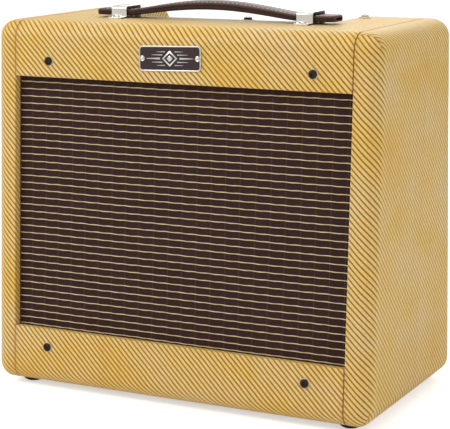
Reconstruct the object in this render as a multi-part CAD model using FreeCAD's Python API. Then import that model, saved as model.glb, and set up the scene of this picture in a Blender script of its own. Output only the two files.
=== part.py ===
import FreeCAD, Part
import math
import os

# Small valve guitar amplifier with one 8 inch loudspeaker, in millimetres.
# Working frame: x = 0 on the centre plane, +Y to the rear, +Z up, the front bottom
# edge at y = 0, z = 0.  On writing, all parts move so the origin is on the floor
# under the middle of the cabinet's footprint.

os.makedirs("parts", exist_ok=True)
Vec = FreeCAD.Vector
UP, REAR, FRONT, RIGHT = (0, 0, 1), (0, 1, 0), (0, -1, 0), (1, 0, 0)
SIDES = (-1, 1)          # left, right

# --- driving dimensions ----------------------------------------------------
# cabinet
cab_width = 361.0        # over the cloth
cab_height = 319.0       # without the feet
cab_depth = 203.0        # at the bottom
front_lean = 18.5        # the front face leans back by this much at the top
rear_lean = 14.4         # the rear face leans forward by this much at the top
corner_r = 15.4          # corners seen from the front
edge_r = 14.6            # round-over of the front and rear edges
cloth_t = 1.0            # covering cloth with its glue
side_t = 20.0            # side boards
board_t = 19.0           # top and bottom boards
finger_width = 14.0      # corner finger joints

inner_x = cab_width / 2 - cloth_t - side_t      # inner faces of the side boards
ceiling_z = cab_height - board_t - cloth_t      # underside of the top board
floor_z = board_t + cloth_t                     # upper face of the bottom board
front_angle = math.degrees(math.atan(front_lean / cab_height))
rear_angle = math.degrees(math.atan(rear_lean / cab_height))

# ranges that reach past the cabinet on every side
past_x = 400
all_y = (-50, 300)
all_z = (-50, 400)

# front opening and baffle, measured along the leaning face
open_x = 158.5
open_z0, open_z1 = 50.3, 271.8
front_panel_t = 7.0
grille_t = 0.8
baffle_t = 12.0
baffle_x = 157.4
baffle_z0, baffle_z1 = 23.0, 296.6
panel_back = cloth_t + front_panel_t
grille_front = panel_back + 0.1
baffle_front = grille_front + grille_t
baffle_back = baffle_front + baffle_t
baffle_screws = [(side * 124.2, z) for side in SIDES for z in (34.3, 285.8)]

# cut-out in the top board, open to the rear
cut_x0, cut_x1, cut_y0 = -99.0, 103.5, 101.0

# chassis
chassis_x0, chassis_x1 = -99.8, 104.3
chassis_y0, chassis_y1 = 100.0, 179.0
chassis_z0, chassis_z1 = 247.0, 298.9
sheet_t = 1.5
panel_under_z = chassis_z1 - sheet_t            # underside of the control panel
chassis_screw_xs = (-106.5, 111.0)
chassis_screw_y = 156.0

# back panels
back_t = 9.0
back_x = 157.5
upper_back_z = (205.0, 297.0)
lower_back_z = (22.0, 110.0)
back_screws = [(side * 151.5, z) for z0, z1 in (upper_back_z, lower_back_z)
               for z in (z0 + 18, z1 - 18) for side in SIDES]

# handle
loop_xs = (-87.7, 90.3)
loop_width = 15.0
loop_inner_height = 9.0
loop_t = 1.4
handle_y = 87.6
strap_width = 22.0
strap_half_length = 114.2
strap_shift = 1.9        # to the right
strap_t = 5.4
strap_rise = 7.2         # arch of the underside
strap_gap = 2.2          # strap ends above the cabinet
loop_half_gap = strap_width / 2 + 0.4
# the front foot turns outwards, the rear one inwards under the strap
loop_screw_ys = (handle_y - loop_half_gap - loop_t - 4.6, handle_y + loop_half_gap - 5.0)

# badge
badge_x, badge_z = -5.2, 292.9
badge_width, badge_height, badge_t = 58.2, 21.2, 1.2
badge_turn = 1.7         # degrees, right end up
badge_pin_reach = 26.0   # from the badge's centre
badge_pin_r = 0.9
badge_cos = math.cos(math.radians(badge_turn))
badge_sin = math.sin(math.radians(badge_turn))
badge_pins = [(badge_x + side * badge_pin_reach * badge_cos,
               badge_z + side * badge_pin_reach * badge_sin) for side in SIDES]

# feet
foot_height = 5.0
foot_r = 10.0
foot_spots = [(side * 155.0, y) for side in SIDES for y in (26.0, 177.0)]

# screws
clearance_r = 2.3
machine_screw_r = 2.0
wood_screw_r = 1.9
loop_screw_r = 1.7

parts = {}


# --- helpers ---------------------------------------------------------------
def box(x0, x1, y0, y1, z0, z1):
    return Part.makeBox(x1 - x0, y1 - y0, z1 - z0, Vec(x0, y0, z0))


def block(x, half_x, y, half_y, z0, z1):
    """Box centred on x, y."""
    return box(x - half_x, x + half_x, y - half_y, y + half_y, z0, z1)


def side_box(side, near_x, far_x, y0, y1, z0, z1):
    """Box on the left (-1) or right (1), between two distances from the centre plane."""
    x0, x1 = sorted((side * near_x, side * far_x))
    return box(x0, x1, y0, y1, z0, z1)


def cylinder(x, y, z, radius, length, direction=UP):
    return Part.makeCylinder(radius, length, Vec(x, y, z), Vec(*direction))


def fuse(shapes):
    result = shapes[0]
    for shape in shapes[1:]:
        result = result.fuse(shape)
    return result.removeSplitter()


def cut(shape, tools):
    for tool in tools:
        shape = shape.cut(tool)
    return shape


def group(shapes):
    return Part.makeCompound([solid for shape in shapes for solid in shape.Solids])


def lean(shape):
    """From the upright front frame (y = depth behind the front face) to the leaning one."""
    shape = shape.copy()
    shape.rotate(Vec(0, 0, 0), Vec(1, 0, 0), -front_angle)
    return shape


def lean_back(shape):
    """From the upright rear frame (y = 0 on the rear face, inside is -y)."""
    shape = shape.copy()
    shape.rotate(Vec(0, 0, 0), Vec(1, 0, 0), rear_angle)
    shape.translate(Vec(0, cab_depth, 0))
    return shape


def place(shape, x, y, z, direction):
    """Set a shape built along +Z at a point, pointing along direction."""
    turn = FreeCAD.Rotation(Vec(*UP), Vec(*direction))
    shape.Placement = FreeCAD.Placement(Vec(x, y, z), turn)
    return shape


def polygon_face(points):
    return Part.Face(Part.makePolygon(points + points[:1]))


def revolve(profile, x, y, z, direction=UP):
    """Solid of revolution from (radius, height) pairs."""
    face = polygon_face([Vec(radius, 0, height) for radius, height in profile])
    return place(face.revolve(Vec(0, 0, 0), Vec(*UP), 360), x, y, z, direction)


def hex_nut(x, y, z, across_flats, height, hole_r, direction=UP):
    radius = across_flats / math.sqrt(3)
    angles = [math.radians(60 * i) for i in range(6)]
    face = polygon_face([Vec(radius * math.cos(a), radius * math.sin(a), 0) for a in angles])
    nut = face.extrude(Vec(0, 0, height)).cut(cylinder(0, 0, -1, hole_r, height + 2))
    return place(nut, x, y, z, direction)


def cross_head(profile, slot_reach, slot_half_width, slot_z, x, y, z, direction):
    """Revolved screw head with a cross slot above height slot_z."""
    head = revolve(profile, 0, 0, 0)
    head = head.cut(block(0, slot_reach, 0, slot_half_width, slot_z, 4))
    head = head.cut(block(0, slot_half_width, 0, slot_reach, slot_z, 4))
    return place(head, x, y, z, direction)


def rounded_prism(x0, x1, z0, z1, radius, y0, y1):
    """Rectangle with round corners in the XZ plane, extruded from y0 to y1."""
    inset = radius * (1 - math.sqrt(0.5))       # of each arc's middle from the sharp sides

    def at(x, z):
        return Vec(x, y0, z)

    curves = [
        Part.LineSegment(at(x0 + radius, z0), at(x1 - radius, z0)),
        Part.Arc(at(x1 - radius, z0), at(x1 - inset, z0 + inset), at(x1, z0 + radius)),
        Part.LineSegment(at(x1, z0 + radius), at(x1, z1 - radius)),
        Part.Arc(at(x1, z1 - radius), at(x1 - inset, z1 - inset), at(x1 - radius, z1)),
        Part.LineSegment(at(x1 - radius, z1), at(x0 + radius, z1)),
        Part.Arc(at(x0 + radius, z1), at(x0 + inset, z1 - inset), at(x0, z1 - radius)),
        Part.LineSegment(at(x0, z1 - radius), at(x0, z0 + radius)),
        Part.Arc(at(x0, z0 + radius), at(x0 + inset, z0 + inset), at(x0 + radius, z0))]
    face = Part.Face(Part.Wire([curve.toShape() for curve in curves]))
    return face.extrude(Vec(0, y1 - y0, 0))


def wire(points, radius):
    """Round wire along a smooth curve through the points."""
    curve = Part.BSplineCurve()
    curve.interpolate([Vec(*point) for point in points])
    start_direction = curve.tangent(curve.FirstParameter)[0]
    section = Part.Wire([Part.Circle(Vec(*points[0]), start_direction, radius).toShape()])
    return Part.Wire([curve.toShape()]).makePipeShell([section], True, True).Solids[0]


# --- cabinet form ----------------------------------------------------------
def cabinet_form(inset):
    """The cabinet's outer form, moved inwards by inset."""
    form = rounded_prism(-cab_width / 2 + inset, cab_width / 2 - inset, inset,
                         cab_height - inset, corner_r - inset, -20, cab_depth + 20)
    form = form.common(lean(box(-300, 300, inset, 500, -100, 500)))
    form = form.common(lean_back(box(-300, 300, -500, -inset, -100, 500)))
    front, rear = math.radians(front_angle), math.radians(rear_angle)
    front_normal = Vec(0, math.cos(front), -math.sin(front))
    rear_normal = Vec(0, math.cos(rear), math.sin(rear))
    rear_foot = Vec(0, cab_depth, 0)
    rims = []
    for edge in form.Edges:
        points = edge.discretize(5)
        on_front = all(abs(p.dot(front_normal) - inset) < 1e-4 for p in points)
        on_rear = all(abs((p - rear_foot).dot(rear_normal) + inset) < 1e-4 for p in points)
        if on_front or on_rear:
            rims.append(edge)
    return form.makeFillet(edge_r - inset, rims)


cloth_form = cabinet_form(0.0)
wood_form = cabinet_form(cloth_t)

# --- holes shared by several parts -----------------------------------------
baffle_holes = [lean(cylinder(x, -10, z, clearance_r, 60, REAR)) for x, z in baffle_screws]
chassis_holes = [cylinder(x, chassis_screw_y, 280, clearance_r, 50) for x in chassis_screw_xs]
handle_holes = [cylinder(x, y, cab_height - 15, loop_screw_r, 20)
                for x in loop_xs for y in loop_screw_ys]
foot_holes = [cylinder(x, y, -foot_height, wood_screw_r, foot_height + 14)
              for x, y in foot_spots]
badge_holes = [lean(cylinder(x, -5, z, badge_pin_r, 10, REAR)) for x, z in badge_pins]

# --- boards ----------------------------------------------------------------
between_sides = box(-inner_x, inner_x, *all_y, *all_z)
top_zone = box(-past_x, past_x, *all_y, ceiling_z, all_z[1])
bottom_zone = box(-past_x, past_x, *all_y, all_z[0], floor_z)

# finger joints: in the corners, alternate slices along the depth belong to the sides
fingers = None
for k in range(9):
    y = k * 2 * finger_width - 10
    finger = box(-past_x, past_x, y, y + finger_width, *all_z)
    fingers = fingers.fuse(finger) if fingers else finger
corners = None
for side in SIDES:
    for z0, z1 in ((all_z[0], floor_z), (ceiling_z, all_z[1])):
        corner = side_box(side, inner_x, past_x, *all_y, z0, z1)
        corners = corners.fuse(corner) if corners else corner

side_wood = wood_form.cut(between_sides).cut(corners.cut(fingers))
for side, name in zip(SIDES, ("left", "right")):
    parts["side_board_" + name] = side_wood.common(side_box(side, 0, past_x, *all_y, *all_z))

flat_wood = wood_form.common(between_sides).fuse(wood_form.common(corners).cut(fingers))
top_cut_wood = box(cut_x0 - cloth_t, cut_x1 + cloth_t, cut_y0 - cloth_t, 260,
                   ceiling_z - 5, 400)
top_board = cut(flat_wood.common(top_zone), [top_cut_wood] + chassis_holes + handle_holes)
parts["top_board"] = top_board.removeSplitter()
parts["bottom_board"] = cut(flat_wood.common(bottom_zone), foot_holes).removeSplitter()

# upper and lower front panels, behind the cloth and between the side boards
front_opening = lean(box(-inner_x, inner_x, -10, 60, open_z0 - cloth_t, open_z1 + cloth_t))
front_panels = lean(box(-inner_x, inner_x, cloth_t, panel_back, *all_z)).common(wood_form)
front_panels = cut(front_panels, [front_opening, top_zone, bottom_zone])
parts["front_panels"] = group([cut(front_panels, baffle_holes + badge_holes)])

# --- cloth covering --------------------------------------------------------
rear_opening = lean_back(box(-inner_x, inner_x, -30, 10, floor_z, ceiling_z))
cover = cloth_form.cut(wood_form).cut(front_opening).cut(rear_opening)

# side pieces, turned in over the edges of the front and rear openings
for side, name in zip(SIDES, ("left", "right")):
    cloth = cover.common(side_box(side, open_x, past_x, *all_y, *all_z))
    cloth = cloth.fuse(lean(side_box(side, open_x, inner_x, 0, panel_back,
                                     open_z0 - cloth_t, open_z1 + cloth_t)))
    cloth = cloth.fuse(lean_back(side_box(side, open_x, inner_x, -24.0, 0,
                                          floor_z + 1.6, ceiling_z - 0.6)))
    parts["tweed_cover_" + name] = cloth.removeSplitter()

# middle pieces, which also cover the edges of the front opening
cover_split_z = 160
middle_cover = cover.common(box(-open_x, open_x, *all_y, *all_z))
top_cut = box(cut_x0, cut_x1, cut_y0, 260, ceiling_z - 5, 400)
cut_lining = box(cut_x0 - cloth_t, cut_x1 + cloth_t, cut_y0 - cloth_t, 260,
                 ceiling_z, cab_height - cloth_t).common(wood_form).cut(top_cut)
top_edge = lean(box(-open_x, open_x, 0, panel_back, open_z1, open_z1 + cloth_t))
cloth = middle_cover.common(box(-past_x, past_x, *all_y, cover_split_z, all_z[1]))
cloth = cloth.cut(top_cut).fuse(top_edge).fuse(cut_lining).removeSplitter()
parts["tweed_cover_top"] = cut(cloth, chassis_holes + handle_holes + baffle_holes + badge_holes)

bottom_edge = lean(box(-open_x, open_x, 0, panel_back, open_z0 - cloth_t, open_z0))
cloth = middle_cover.common(box(-past_x, past_x, *all_y, all_z[0], cover_split_z))
cloth = cloth.fuse(bottom_edge).removeSplitter()
parts["tweed_cover_bottom"] = cut(cloth, baffle_holes + foot_holes)

# --- baffle and grille cloth -----------------------------------------------
speaker_z = (open_z0 + open_z1) / 2.0
speaker_hole_r = 89.0
speaker_bolt_circle_r = 98.0
speaker_bolt_hole_r = 2.2
speaker_bolts = [(speaker_bolt_circle_r * math.cos(math.radians(angle)),
                  speaker_z + speaker_bolt_circle_r * math.sin(math.radians(angle)))
                 for angle in (45, 135, 225, 315)]

baffle_blank = box(-baffle_x, baffle_x, baffle_front, baffle_back, baffle_z0, baffle_z1)
baffle = baffle_blank.cut(cylinder(0, baffle_front - 5, speaker_z, speaker_hole_r, 40, REAR))
for x, z in speaker_bolts:
    countersink = [(0, 0), (4.6, 0), (speaker_bolt_hole_r, 2.6), (0, 2.6)]
    baffle = baffle.cut(cylinder(x, baffle_front - 1, z, speaker_bolt_hole_r, 30, REAR))
    baffle = baffle.cut(revolve(countersink, x, baffle_front, z, REAR))
parts["baffle_board"] = cut(lean(baffle), baffle_holes)

# the grille cloth wraps the baffle and is open over the middle of its back
grille = box(-baffle_x - grille_t, baffle_x + grille_t, grille_front, baffle_back + grille_t,
             baffle_z0 - grille_t, baffle_z1 + grille_t)
grille = grille.cut(baffle_blank)
grille = grille.cut(box(-baffle_x + 24, baffle_x - 24, baffle_back - 1, baffle_back + 5,
                        baffle_z0 + 16, baffle_z1 - 16))
parts["grille_cloth"] = cut(lean(grille), baffle_holes)

# --- baffle screws with cup washers and nuts -------------------------------
washers, nuts = [], []
nut_flats, nut_height = 8.0, 3.2
cup_washer = [(2.4, 0.0), (5.6, 0.0), (5.6, 0.5), (3.9, 1.4), (2.4, 1.4)]
small_cup_washer = [(2.4, 0.0), (4.4, 0.0), (4.4, 0.3), (3.8, 0.8), (2.4, 0.8)]
baffle_screw_head = [(0, 0.8), (3.8, 0.8), (3.7, 1.3), (2.6, 2.3), (1.2, 2.8), (0, 2.9)]
oval_head = [(0, 1.4), (3.5, 1.4), (3.3, 2.3), (2.0, 3.0), (0, 3.2)]

screws = []
for x, z in baffle_screws:
    washers.append(lean(revolve(small_cup_washer, x, 0, z, FRONT)))
    head = cross_head(baffle_screw_head, 2.5, 0.6, 1.5, x, 0, z, FRONT)
    screws.append(lean(head.fuse(cylinder(x, -1.0, z, machine_screw_r, 29.4, REAR))))
    nuts.append(lean(hex_nut(x, baffle_back + grille_t, z, nut_flats, nut_height,
                             machine_screw_r, REAR)))
parts["baffle_screws"] = group(screws)

# --- loudspeaker (built upright on the y axis, then leaned) ----------------
surround_y = baffle_back + 2.5
flange_y = surround_y + 0.5
flange_t = 1.6
flange_r = 103.0
motor_y = flange_y + 40.2                       # back of the frame, front of the top plate
motor_r = 36.5
neck_y = flange_y + 25.0                        # neck of the cone
rim = surround_y - neck_y                       # surround as seen from the neck
bolt_holes = [cylinder(x, baffle_back - 5, z, speaker_bolt_hole_r, 30, REAR)
              for x, z in speaker_bolts]


def speaker_ring(base_y, profile):
    """Revolved piece from (radius, depth behind base_y) pairs."""
    return revolve(profile, 0, base_y, speaker_z, REAR)


gasket = speaker_ring(baffle_back, [(90.5, 0), (102.5, 0), (102.5, 2.5), (90.5, 2.5)])
parts["speaker_gasket"] = lean(cut(gasket, bolt_holes))

surround = speaker_ring(surround_y, [
    (80.7, 1.0), (83.0, -0.7), (85.2, 0.9), (87.4, -0.7), (89.6, 0), (102.5, 0), (102.5, 0.5),
    (89.4, 0.5), (87.4, -0.1), (85.2, 1.5), (83.0, -0.1), (80.7, 1.6)])
parts["speaker_surround"] = lean(cut(surround, bolt_holes))

frame = speaker_ring(flange_y, [
    (90.5, 0), (flange_r, 0), (flange_r, flange_t), (92.2, flange_t), (47.0, 32.5),
    (motor_r, 38.0), (motor_r, 40.2), (13.9, 40.2), (13.9, 38.6), (34.9, 38.6),
    (34.9, 36.9), (34.9, 36.6), (34.9, 31.0), (46.4, 31.0)])
# corners of one window: radius, angle from its middle in radians
window_outline = [(54, -0.30), (84, -0.36), (87, 0), (84, 0.36), (54, 0.30)]
for k in range(6):
    middle = math.radians(60 * k + 30)
    window = polygon_face([Vec(radius * math.cos(middle + angle), flange_y - 5,
                               speaker_z + radius * math.sin(middle + angle))
                           for radius, angle in window_outline])
    frame = frame.cut(window.extrude(Vec(0, 60, 0)))
parts["speaker_frame"] = lean(cut(frame, bolt_holes))

top_plate = speaker_ring(motor_y, [(13.7, 0), (motor_r, 0), (motor_r, 5), (13.7, 5)])
pole_piece = speaker_ring(motor_y, [(0, -0.6), (12.0, -0.6), (12.0, 17), (motor_r, 17),
                                    (motor_r, 22), (0, 22)])
parts["speaker_plates"] = lean(group([top_plate, pole_piece]))
parts["speaker_magnet"] = lean(speaker_ring(motor_y, [
    (23.0, 5), (motor_r, 5), (motor_r, 17), (23.0, 17)]))
parts["speaker_spider"] = lean(speaker_ring(flange_y, [
    (13.1, 30.2), (18, 29.2), (23, 31.0), (28, 29.2), (33, 30.5), (45.5, 30.5),
    (45.5, 31.0), (33, 31.0), (28, 29.8), (23, 31.6), (18, 29.8), (13.1, 30.8)]))
parts["speaker_cone"] = lean(speaker_ring(neck_y, [
    (12.75, 0), (12.75, 1.5), (80.4, rim + 2.1), (80.4, rim + 1.2), (13.6, -0.4), (13.6, 0)]))
parts["voice_coil"] = lean(speaker_ring(neck_y, [
    (12.35, -2.0), (12.7, -2.0), (12.7, 13.5), (13.2, 13.5), (13.2, 22.5), (12.7, 22.5),
    (12.7, 24.0), (12.35, 24.0)]))

# the dust cap's edge sits just in front of the cone
cap_r = 17.0
cone_slope = (rim + 1.2 + 0.4) / (80.4 - 13.6)
cap_y = neck_y - 0.4 + cone_slope * (cap_r - 13.6) - 0.05
parts["dust_cap"] = lean(speaker_ring(cap_y, [
    (0, -5.6), (6, -5.0), (11, -3.4), (cap_r, -0.6), (cap_r, 0), (11, -2.8), (6, -4.4),
    (0, -5.0)]))

flat_screw = [(0, 0), (4.4, 0), (machine_screw_r, 2.4), (machine_screw_r, 24.0), (0, 24.0)]
screws = []
for x, z in speaker_bolts:
    screws.append(lean(revolve(flat_screw, x, baffle_front + 0.05, z, REAR)))
    nuts.append(lean(hex_nut(x, flange_y + flange_t, z, nut_flats, nut_height,
                             machine_screw_r, REAR)))
parts["speaker_screws"] = group(screws)

# --- chassis ---------------------------------------------------------------
control_y = 141.0
jack_xs = (72.0, 44.0)
pot_x, lamp_x, fuse_x = 5.5, -38.0, -72.0
tube_y = 143.0
preamp_x, power_x, rectifier_x = 86.0, 51.0, 9.0
cord_x, cord_y = -22.0, 128.0
# holes: x, radius
panel_holes = [(jack_xs[0], 4.9), (jack_xs[1], 4.9), (pot_x, 4.9), (lamp_x, 7.3), (fuse_x, 6.35)]
tube_holes = [(preamp_x, 9.6), (power_x, 13.6), (rectifier_x, 13.6)]

chassis = box(chassis_x0, chassis_x1, chassis_y0, chassis_y1, chassis_z0, chassis_z1)
chassis = chassis.cut(box(chassis_x0 + sheet_t, chassis_x1 - sheet_t, chassis_y0 + sheet_t,
                          chassis_y1 + 5, chassis_z0 + sheet_t, panel_under_z))
# the top plate reaches out on both sides to the chassis screws
ears = box(chassis_screw_xs[0] - 10, chassis_screw_xs[1] + 10, 120, chassis_y1,
           panel_under_z, chassis_z1)
chassis = cut(fuse([chassis, ears]), chassis_holes)
chassis = cut(chassis, [cylinder(x, control_y, chassis_z1 - 5, r, 10) for x, r in panel_holes])
chassis = cut(chassis, [cylinder(x, tube_y, chassis_z0 - 5, r, 10) for x, r in tube_holes])
parts["chassis"] = chassis.cut(cylinder(cord_x, cord_y, chassis_z0 - 5, 6.1, 10))

screws = []
screw_z = chassis_z1 - 8.0
for x in chassis_screw_xs:
    washers.append(revolve(cup_washer, x, chassis_screw_y, cab_height))
    head = cross_head(oval_head, 2.6, 0.45, 2.2, x, chassis_screw_y, cab_height, UP)
    screws.append(head.fuse(cylinder(x, chassis_screw_y, screw_z, machine_screw_r,
                                     cab_height + 1.6 - screw_z)))
    nuts.append(hex_nut(x, chassis_screw_y, panel_under_z - nut_height, nut_flats,
                        nut_height, machine_screw_r))
parts["chassis_screws"] = group(screws)
parts["hex_nuts"] = group(nuts)

# --- controls: all stand on the chassis top plate --------------------------
knob_turn = 27.0         # pointer, degrees anticlockwise of straight back
shaft_r = 3.175
bushing_r = 4.8
knob_z0, knob_z1 = chassis_z1 + 3.4, chassis_z1 + 16.6
shaft_z0, shaft_z1 = panel_under_z - 8.5, knob_z1 - 4.5

pot = fuse([cylinder(pot_x, control_y, panel_under_z - 12.5, 12.0, 12.5),
            cylinder(pot_x, control_y, panel_under_z - 1, bushing_r, 7.5)])
pot = pot.cut(cylinder(pot_x, control_y, panel_under_z - 9.0, 3.25, 30))
lugs = [box(pot_x + dx - 1.4, pot_x + dx + 1.4, control_y + 10, control_y + 20,
            panel_under_z - 3.2, panel_under_z - 2.4) for dx in (-5.5, 0, 5.5)]
parts["volume_pot"] = fuse([pot] + lugs)
parts["volume_shaft"] = cylinder(pot_x, control_y, shaft_z0, shaft_r, shaft_z1 - shaft_z0)

knob_height = knob_z1 - knob_z0
knob = revolve([(0, 0), (9.6, 0), (9.6, 2.2), (7.6, 3.6), (6.4, knob_height - 0.8),
                (5.6, knob_height), (0, knob_height)], pot_x, control_y, knob_z0)
pointer = polygon_face([Vec(pot_x + dx, control_y + dy, knob_z0 + 2.0)
                        for dx, dy in ((-3.6, -8), (-1.0, 17.5), (1.0, 17.5), (3.6, -8))])
pointer = pointer.extrude(Vec(0, 0, 13.7))
pointer = pointer.common(revolve([(0, 0), (19, 0), (19, 8), (14, 22), (0, 22)],
                                 pot_x, control_y, knob_z0))
knob = fuse([knob, pointer])
knob = knob.cut(cylinder(pot_x, control_y, knob_z0 - 1, shaft_r, shaft_z1 - knob_z0 + 1))
knob = knob.cut(cylinder(pot_x, control_y, knob_z0 - 1, 6.2, 3.0))
knob.rotate(Vec(pot_x, control_y, 0), Vec(*UP), knob_turn)
parts["volume_knob"] = knob


def input_jack(x):
    """Bushing and collar with a contact strip behind and a hooked one in front."""
    rear_y, front_y = control_y + 6.0, control_y - 7.6
    strip_top = panel_under_z - 1.5
    strip_end = panel_under_z - 30
    jack = fuse([
        cylinder(x, control_y, panel_under_z - 3.0, bushing_r, 3.0 + sheet_t + 4.0),
        cylinder(x, control_y, panel_under_z - 3.0, 8.2, 3.0),
        box(x - 5, x + 5, rear_y, rear_y + 1.6, panel_under_z - 26, strip_top),
        box(x - 5, x + 5, front_y, front_y + 1.6, strip_end, strip_top),
        box(x - 3, x + 3, front_y, control_y - 3.4, strip_end, strip_end + 1.4)])
    return jack.cut(cylinder(x, control_y, panel_under_z - 10, 3.25, 40))


parts["input_jacks"] = group([input_jack(x) for x in jack_xs])
parts["panel_nuts"] = group([hex_nut(x, control_y, chassis_z1, 13.0, 2.4, 4.85)
                             for x in jack_xs + (pot_x,)])

# pilot lamp: heights above the panel's top face or below its underside
lamp_z = panel_under_z - 26
lamp_tube = revolve([
    (6.4, lamp_z), (7.2, lamp_z), (7.2, chassis_z1), (9.2, chassis_z1),
    (9.2, chassis_z1 + 1.6), (8.0, chassis_z1 + 2.8), (6.4, chassis_z1 + 2.8)],
    lamp_x, control_y, 0)
lamp_ring = revolve([(4.9, 0), (6.6, 0), (6.6, 1.5), (4.9, 1.5)], lamp_x, control_y, lamp_z)
parts["pilot_lamp_holder"] = fuse([lamp_tube, lamp_ring])

jewel = revolve([(0, -4.0), (6.3, -4.0), (6.3, 2.8), (7.2, 2.8), (7.2, 4.4), (5.6, 8.0),
                 (2.8, 10.2), (0, 10.6)], lamp_x, control_y, chassis_z1)
for k in range(8):
    facet = box(6.75, 12, -6, 6, chassis_z1 + 2.8, chassis_z1 + 12)
    facet.rotate(Vec(0, 0, 0), Vec(*UP), 45 * k)
    facet.translate(Vec(lamp_x, control_y, 0))
    jewel = jewel.cut(facet)
parts["pilot_jewel"] = jewel
parts["pilot_bulb"] = fuse([
    revolve([(0, -30), (4.75, -30), (4.75, -20), (0, -20)], lamp_x, control_y, panel_under_z),
    revolve([(0, -20.5), (4.2, -20.5), (5.2, -14), (4.2, -9.5), (0, -8)],
            lamp_x, control_y, panel_under_z)])

# fuse holder, its slotted cap and the fuse
holder_z = panel_under_z - 40
holder = revolve([
    (5.3, holder_z), (6.2, holder_z), (6.2, chassis_z1), (8.6, chassis_z1),
    (8.6, chassis_z1 + 2.0), (7.8, chassis_z1 + 3.0), (5.3, chassis_z1 + 3.0)],
    fuse_x, control_y, 0)
parts["fuse_holder"] = fuse([holder, cylinder(fuse_x, control_y, holder_z - 1.5, 6.2, 2.0)])
fuse_cap = revolve([(0, -7.5), (5.2, -7.5), (5.2, 3.1), (6.6, 3.1), (6.6, 10.5), (5.8, 11.4),
                    (0, 11.4)], fuse_x, control_y, chassis_z1)
fuse_cap = fuse_cap.cut(block(fuse_x, 7, control_y, 0.7, chassis_z1 + 9.8, chassis_z1 + 13))
parts["fuse_cap"] = fuse_cap.cut(cylinder(fuse_x, control_y, chassis_z1 - 8, 3.2, 6.0))
parts["glass_fuse"] = cylinder(fuse_x, control_y, chassis_z1 - 2.0 - 31.8, 3.175, 31.7)

# --- circuit board and capacitors ------------------------------------------
board_rear = 106.2
board = box(-62, 96, 104.0, board_rear, chassis_z0 + 6, chassis_z1 - 8)
spacer = box(-60, 94, 101.5, 104.0, chassis_z0 + 10, chassis_z0 + 13)
components = []
for k in range(9):
    # radius, length and height above the chassis floor alternate along the board
    radius, length, rise = (2.2, 12.0, 14) if k % 2 == 0 else (3.2, 16.0, 15)
    components.append(cylinder(-54 + 17.5 * k, board_rear + radius, chassis_z0 + rise,
                               radius, length))
parts["circuit_board"] = group([fuse([board, spacer])] + components)

# lying capacitors: left end x, height above the chassis floor, radius, length
filter_capacitors = [(-92, 12.0, 8.0, 44), (8, 38.0, 6.5, 36), (56, 38.0, 6.5, 34)]
parts["filter_capacitors"] = group([
    cylinder(x, 121.0, chassis_z0 + rise, radius, length, RIGHT)
    for x, rise, radius, length in filter_capacitors])

# --- tubes, hanging under the chassis --------------------------------------
tube_z = chassis_z0 - 5.0                       # underside of the sockets
# x, body radius, flange radius, bore radius
socket_sizes = [(power_x, 13.4, 16.0, 4.2), (rectifier_x, 13.4, 16.0, 4.2),
                (preamp_x, 9.4, 12.0, 2.5)]
sockets = []
for x, body_r, socket_flange_r, bore_r in socket_sizes:
    socket = fuse([cylinder(x, tube_y, chassis_z0 - 1.5, socket_flange_r, 1.5),
                   cylinder(x, tube_y, chassis_z0 - 1.6, body_r, 10.0),
                   cylinder(x, tube_y, tube_z, body_r, 4.0)])
    sockets.append(socket.cut(cylinder(x, tube_y, chassis_z0 - 6, bore_r, 20)))
parts["tube_sockets"] = group(sockets)


def octal_tube(x, glass_r, length):
    return revolve([
        (0, 7.5), (4.0, 7.5), (4.0, 0), (15.6, 0), (15.6, -14), (glass_r, -18),
        (glass_r, 9 - length), (glass_r - 3, 3.5 - length), (glass_r - 9, -length),
        (0, -length)], x, tube_y, tube_z)


parts["power_tube"] = octal_tube(power_x, 14.4, 82.0)
parts["rectifier_tube"] = octal_tube(rectifier_x, 14.9, 86.0)
parts["preamp_tube"] = revolve([
    (0, 5), (2.3, 5), (2.3, 0), (8.0, 0), (10.9, -3), (10.9, -40), (8.5, -44.5),
    (2.4, -46.5), (1.6, -50), (0, -50)], preamp_x, tube_y, tube_z)

# --- power transformer, hanging under the chassis --------------------------
power_tx_x, power_tx_y = -64.0, 146.0
core_under_z = chassis_z0 - 22
core = block(power_tx_x, 32, power_tx_y, 27, core_under_z, chassis_z0)
parts["power_transformer_core"] = core.makeFillet(1.0, core.Edges)
coil = block(power_tx_x, 21, power_tx_y, 23, core_under_z - 22, core_under_z)
# lower rim and upright edges
rounded = [e for e in coil.Edges
           if e.BoundBox.ZMin < core_under_z - 21 or e.BoundBox.ZLength > 10]
parts["power_transformer_coil"] = coil.makeFillet(6.0, rounded)

# --- output transformer, standing on the bottom board ----------------------
output_tx_x, output_tx_y = 118.0, 140.0
core = block(output_tx_x, 24, output_tx_y, 8, floor_z, floor_z + 40)
for dx in (-12, 12):
    core = core.cut(block(output_tx_x + dx, 4, output_tx_y, 20, floor_z + 8, floor_z + 32))
tabs = [block(output_tx_x + dx, 5, output_tx_y, 8, floor_z, floor_z + 1.6) for dx in (-29, 29)]
parts["output_transformer_core"] = fuse([core] + tabs)
coil = block(output_tx_x, 15.8, output_tx_y, 17, floor_z + 8.2, floor_z + 31.8)
coil = coil.cut(block(output_tx_x, 8.2, output_tx_y, 8.2, floor_z, floor_z + 60))
# outer upright edges
rounded = [e for e in coil.Edges if e.BoundBox.ZLength > 10
           and abs(abs(e.BoundBox.YMin - output_tx_y) - 17) < 0.1]
parts["output_transformer_coil"] = coil.makeFillet(2.0, rounded)

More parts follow.
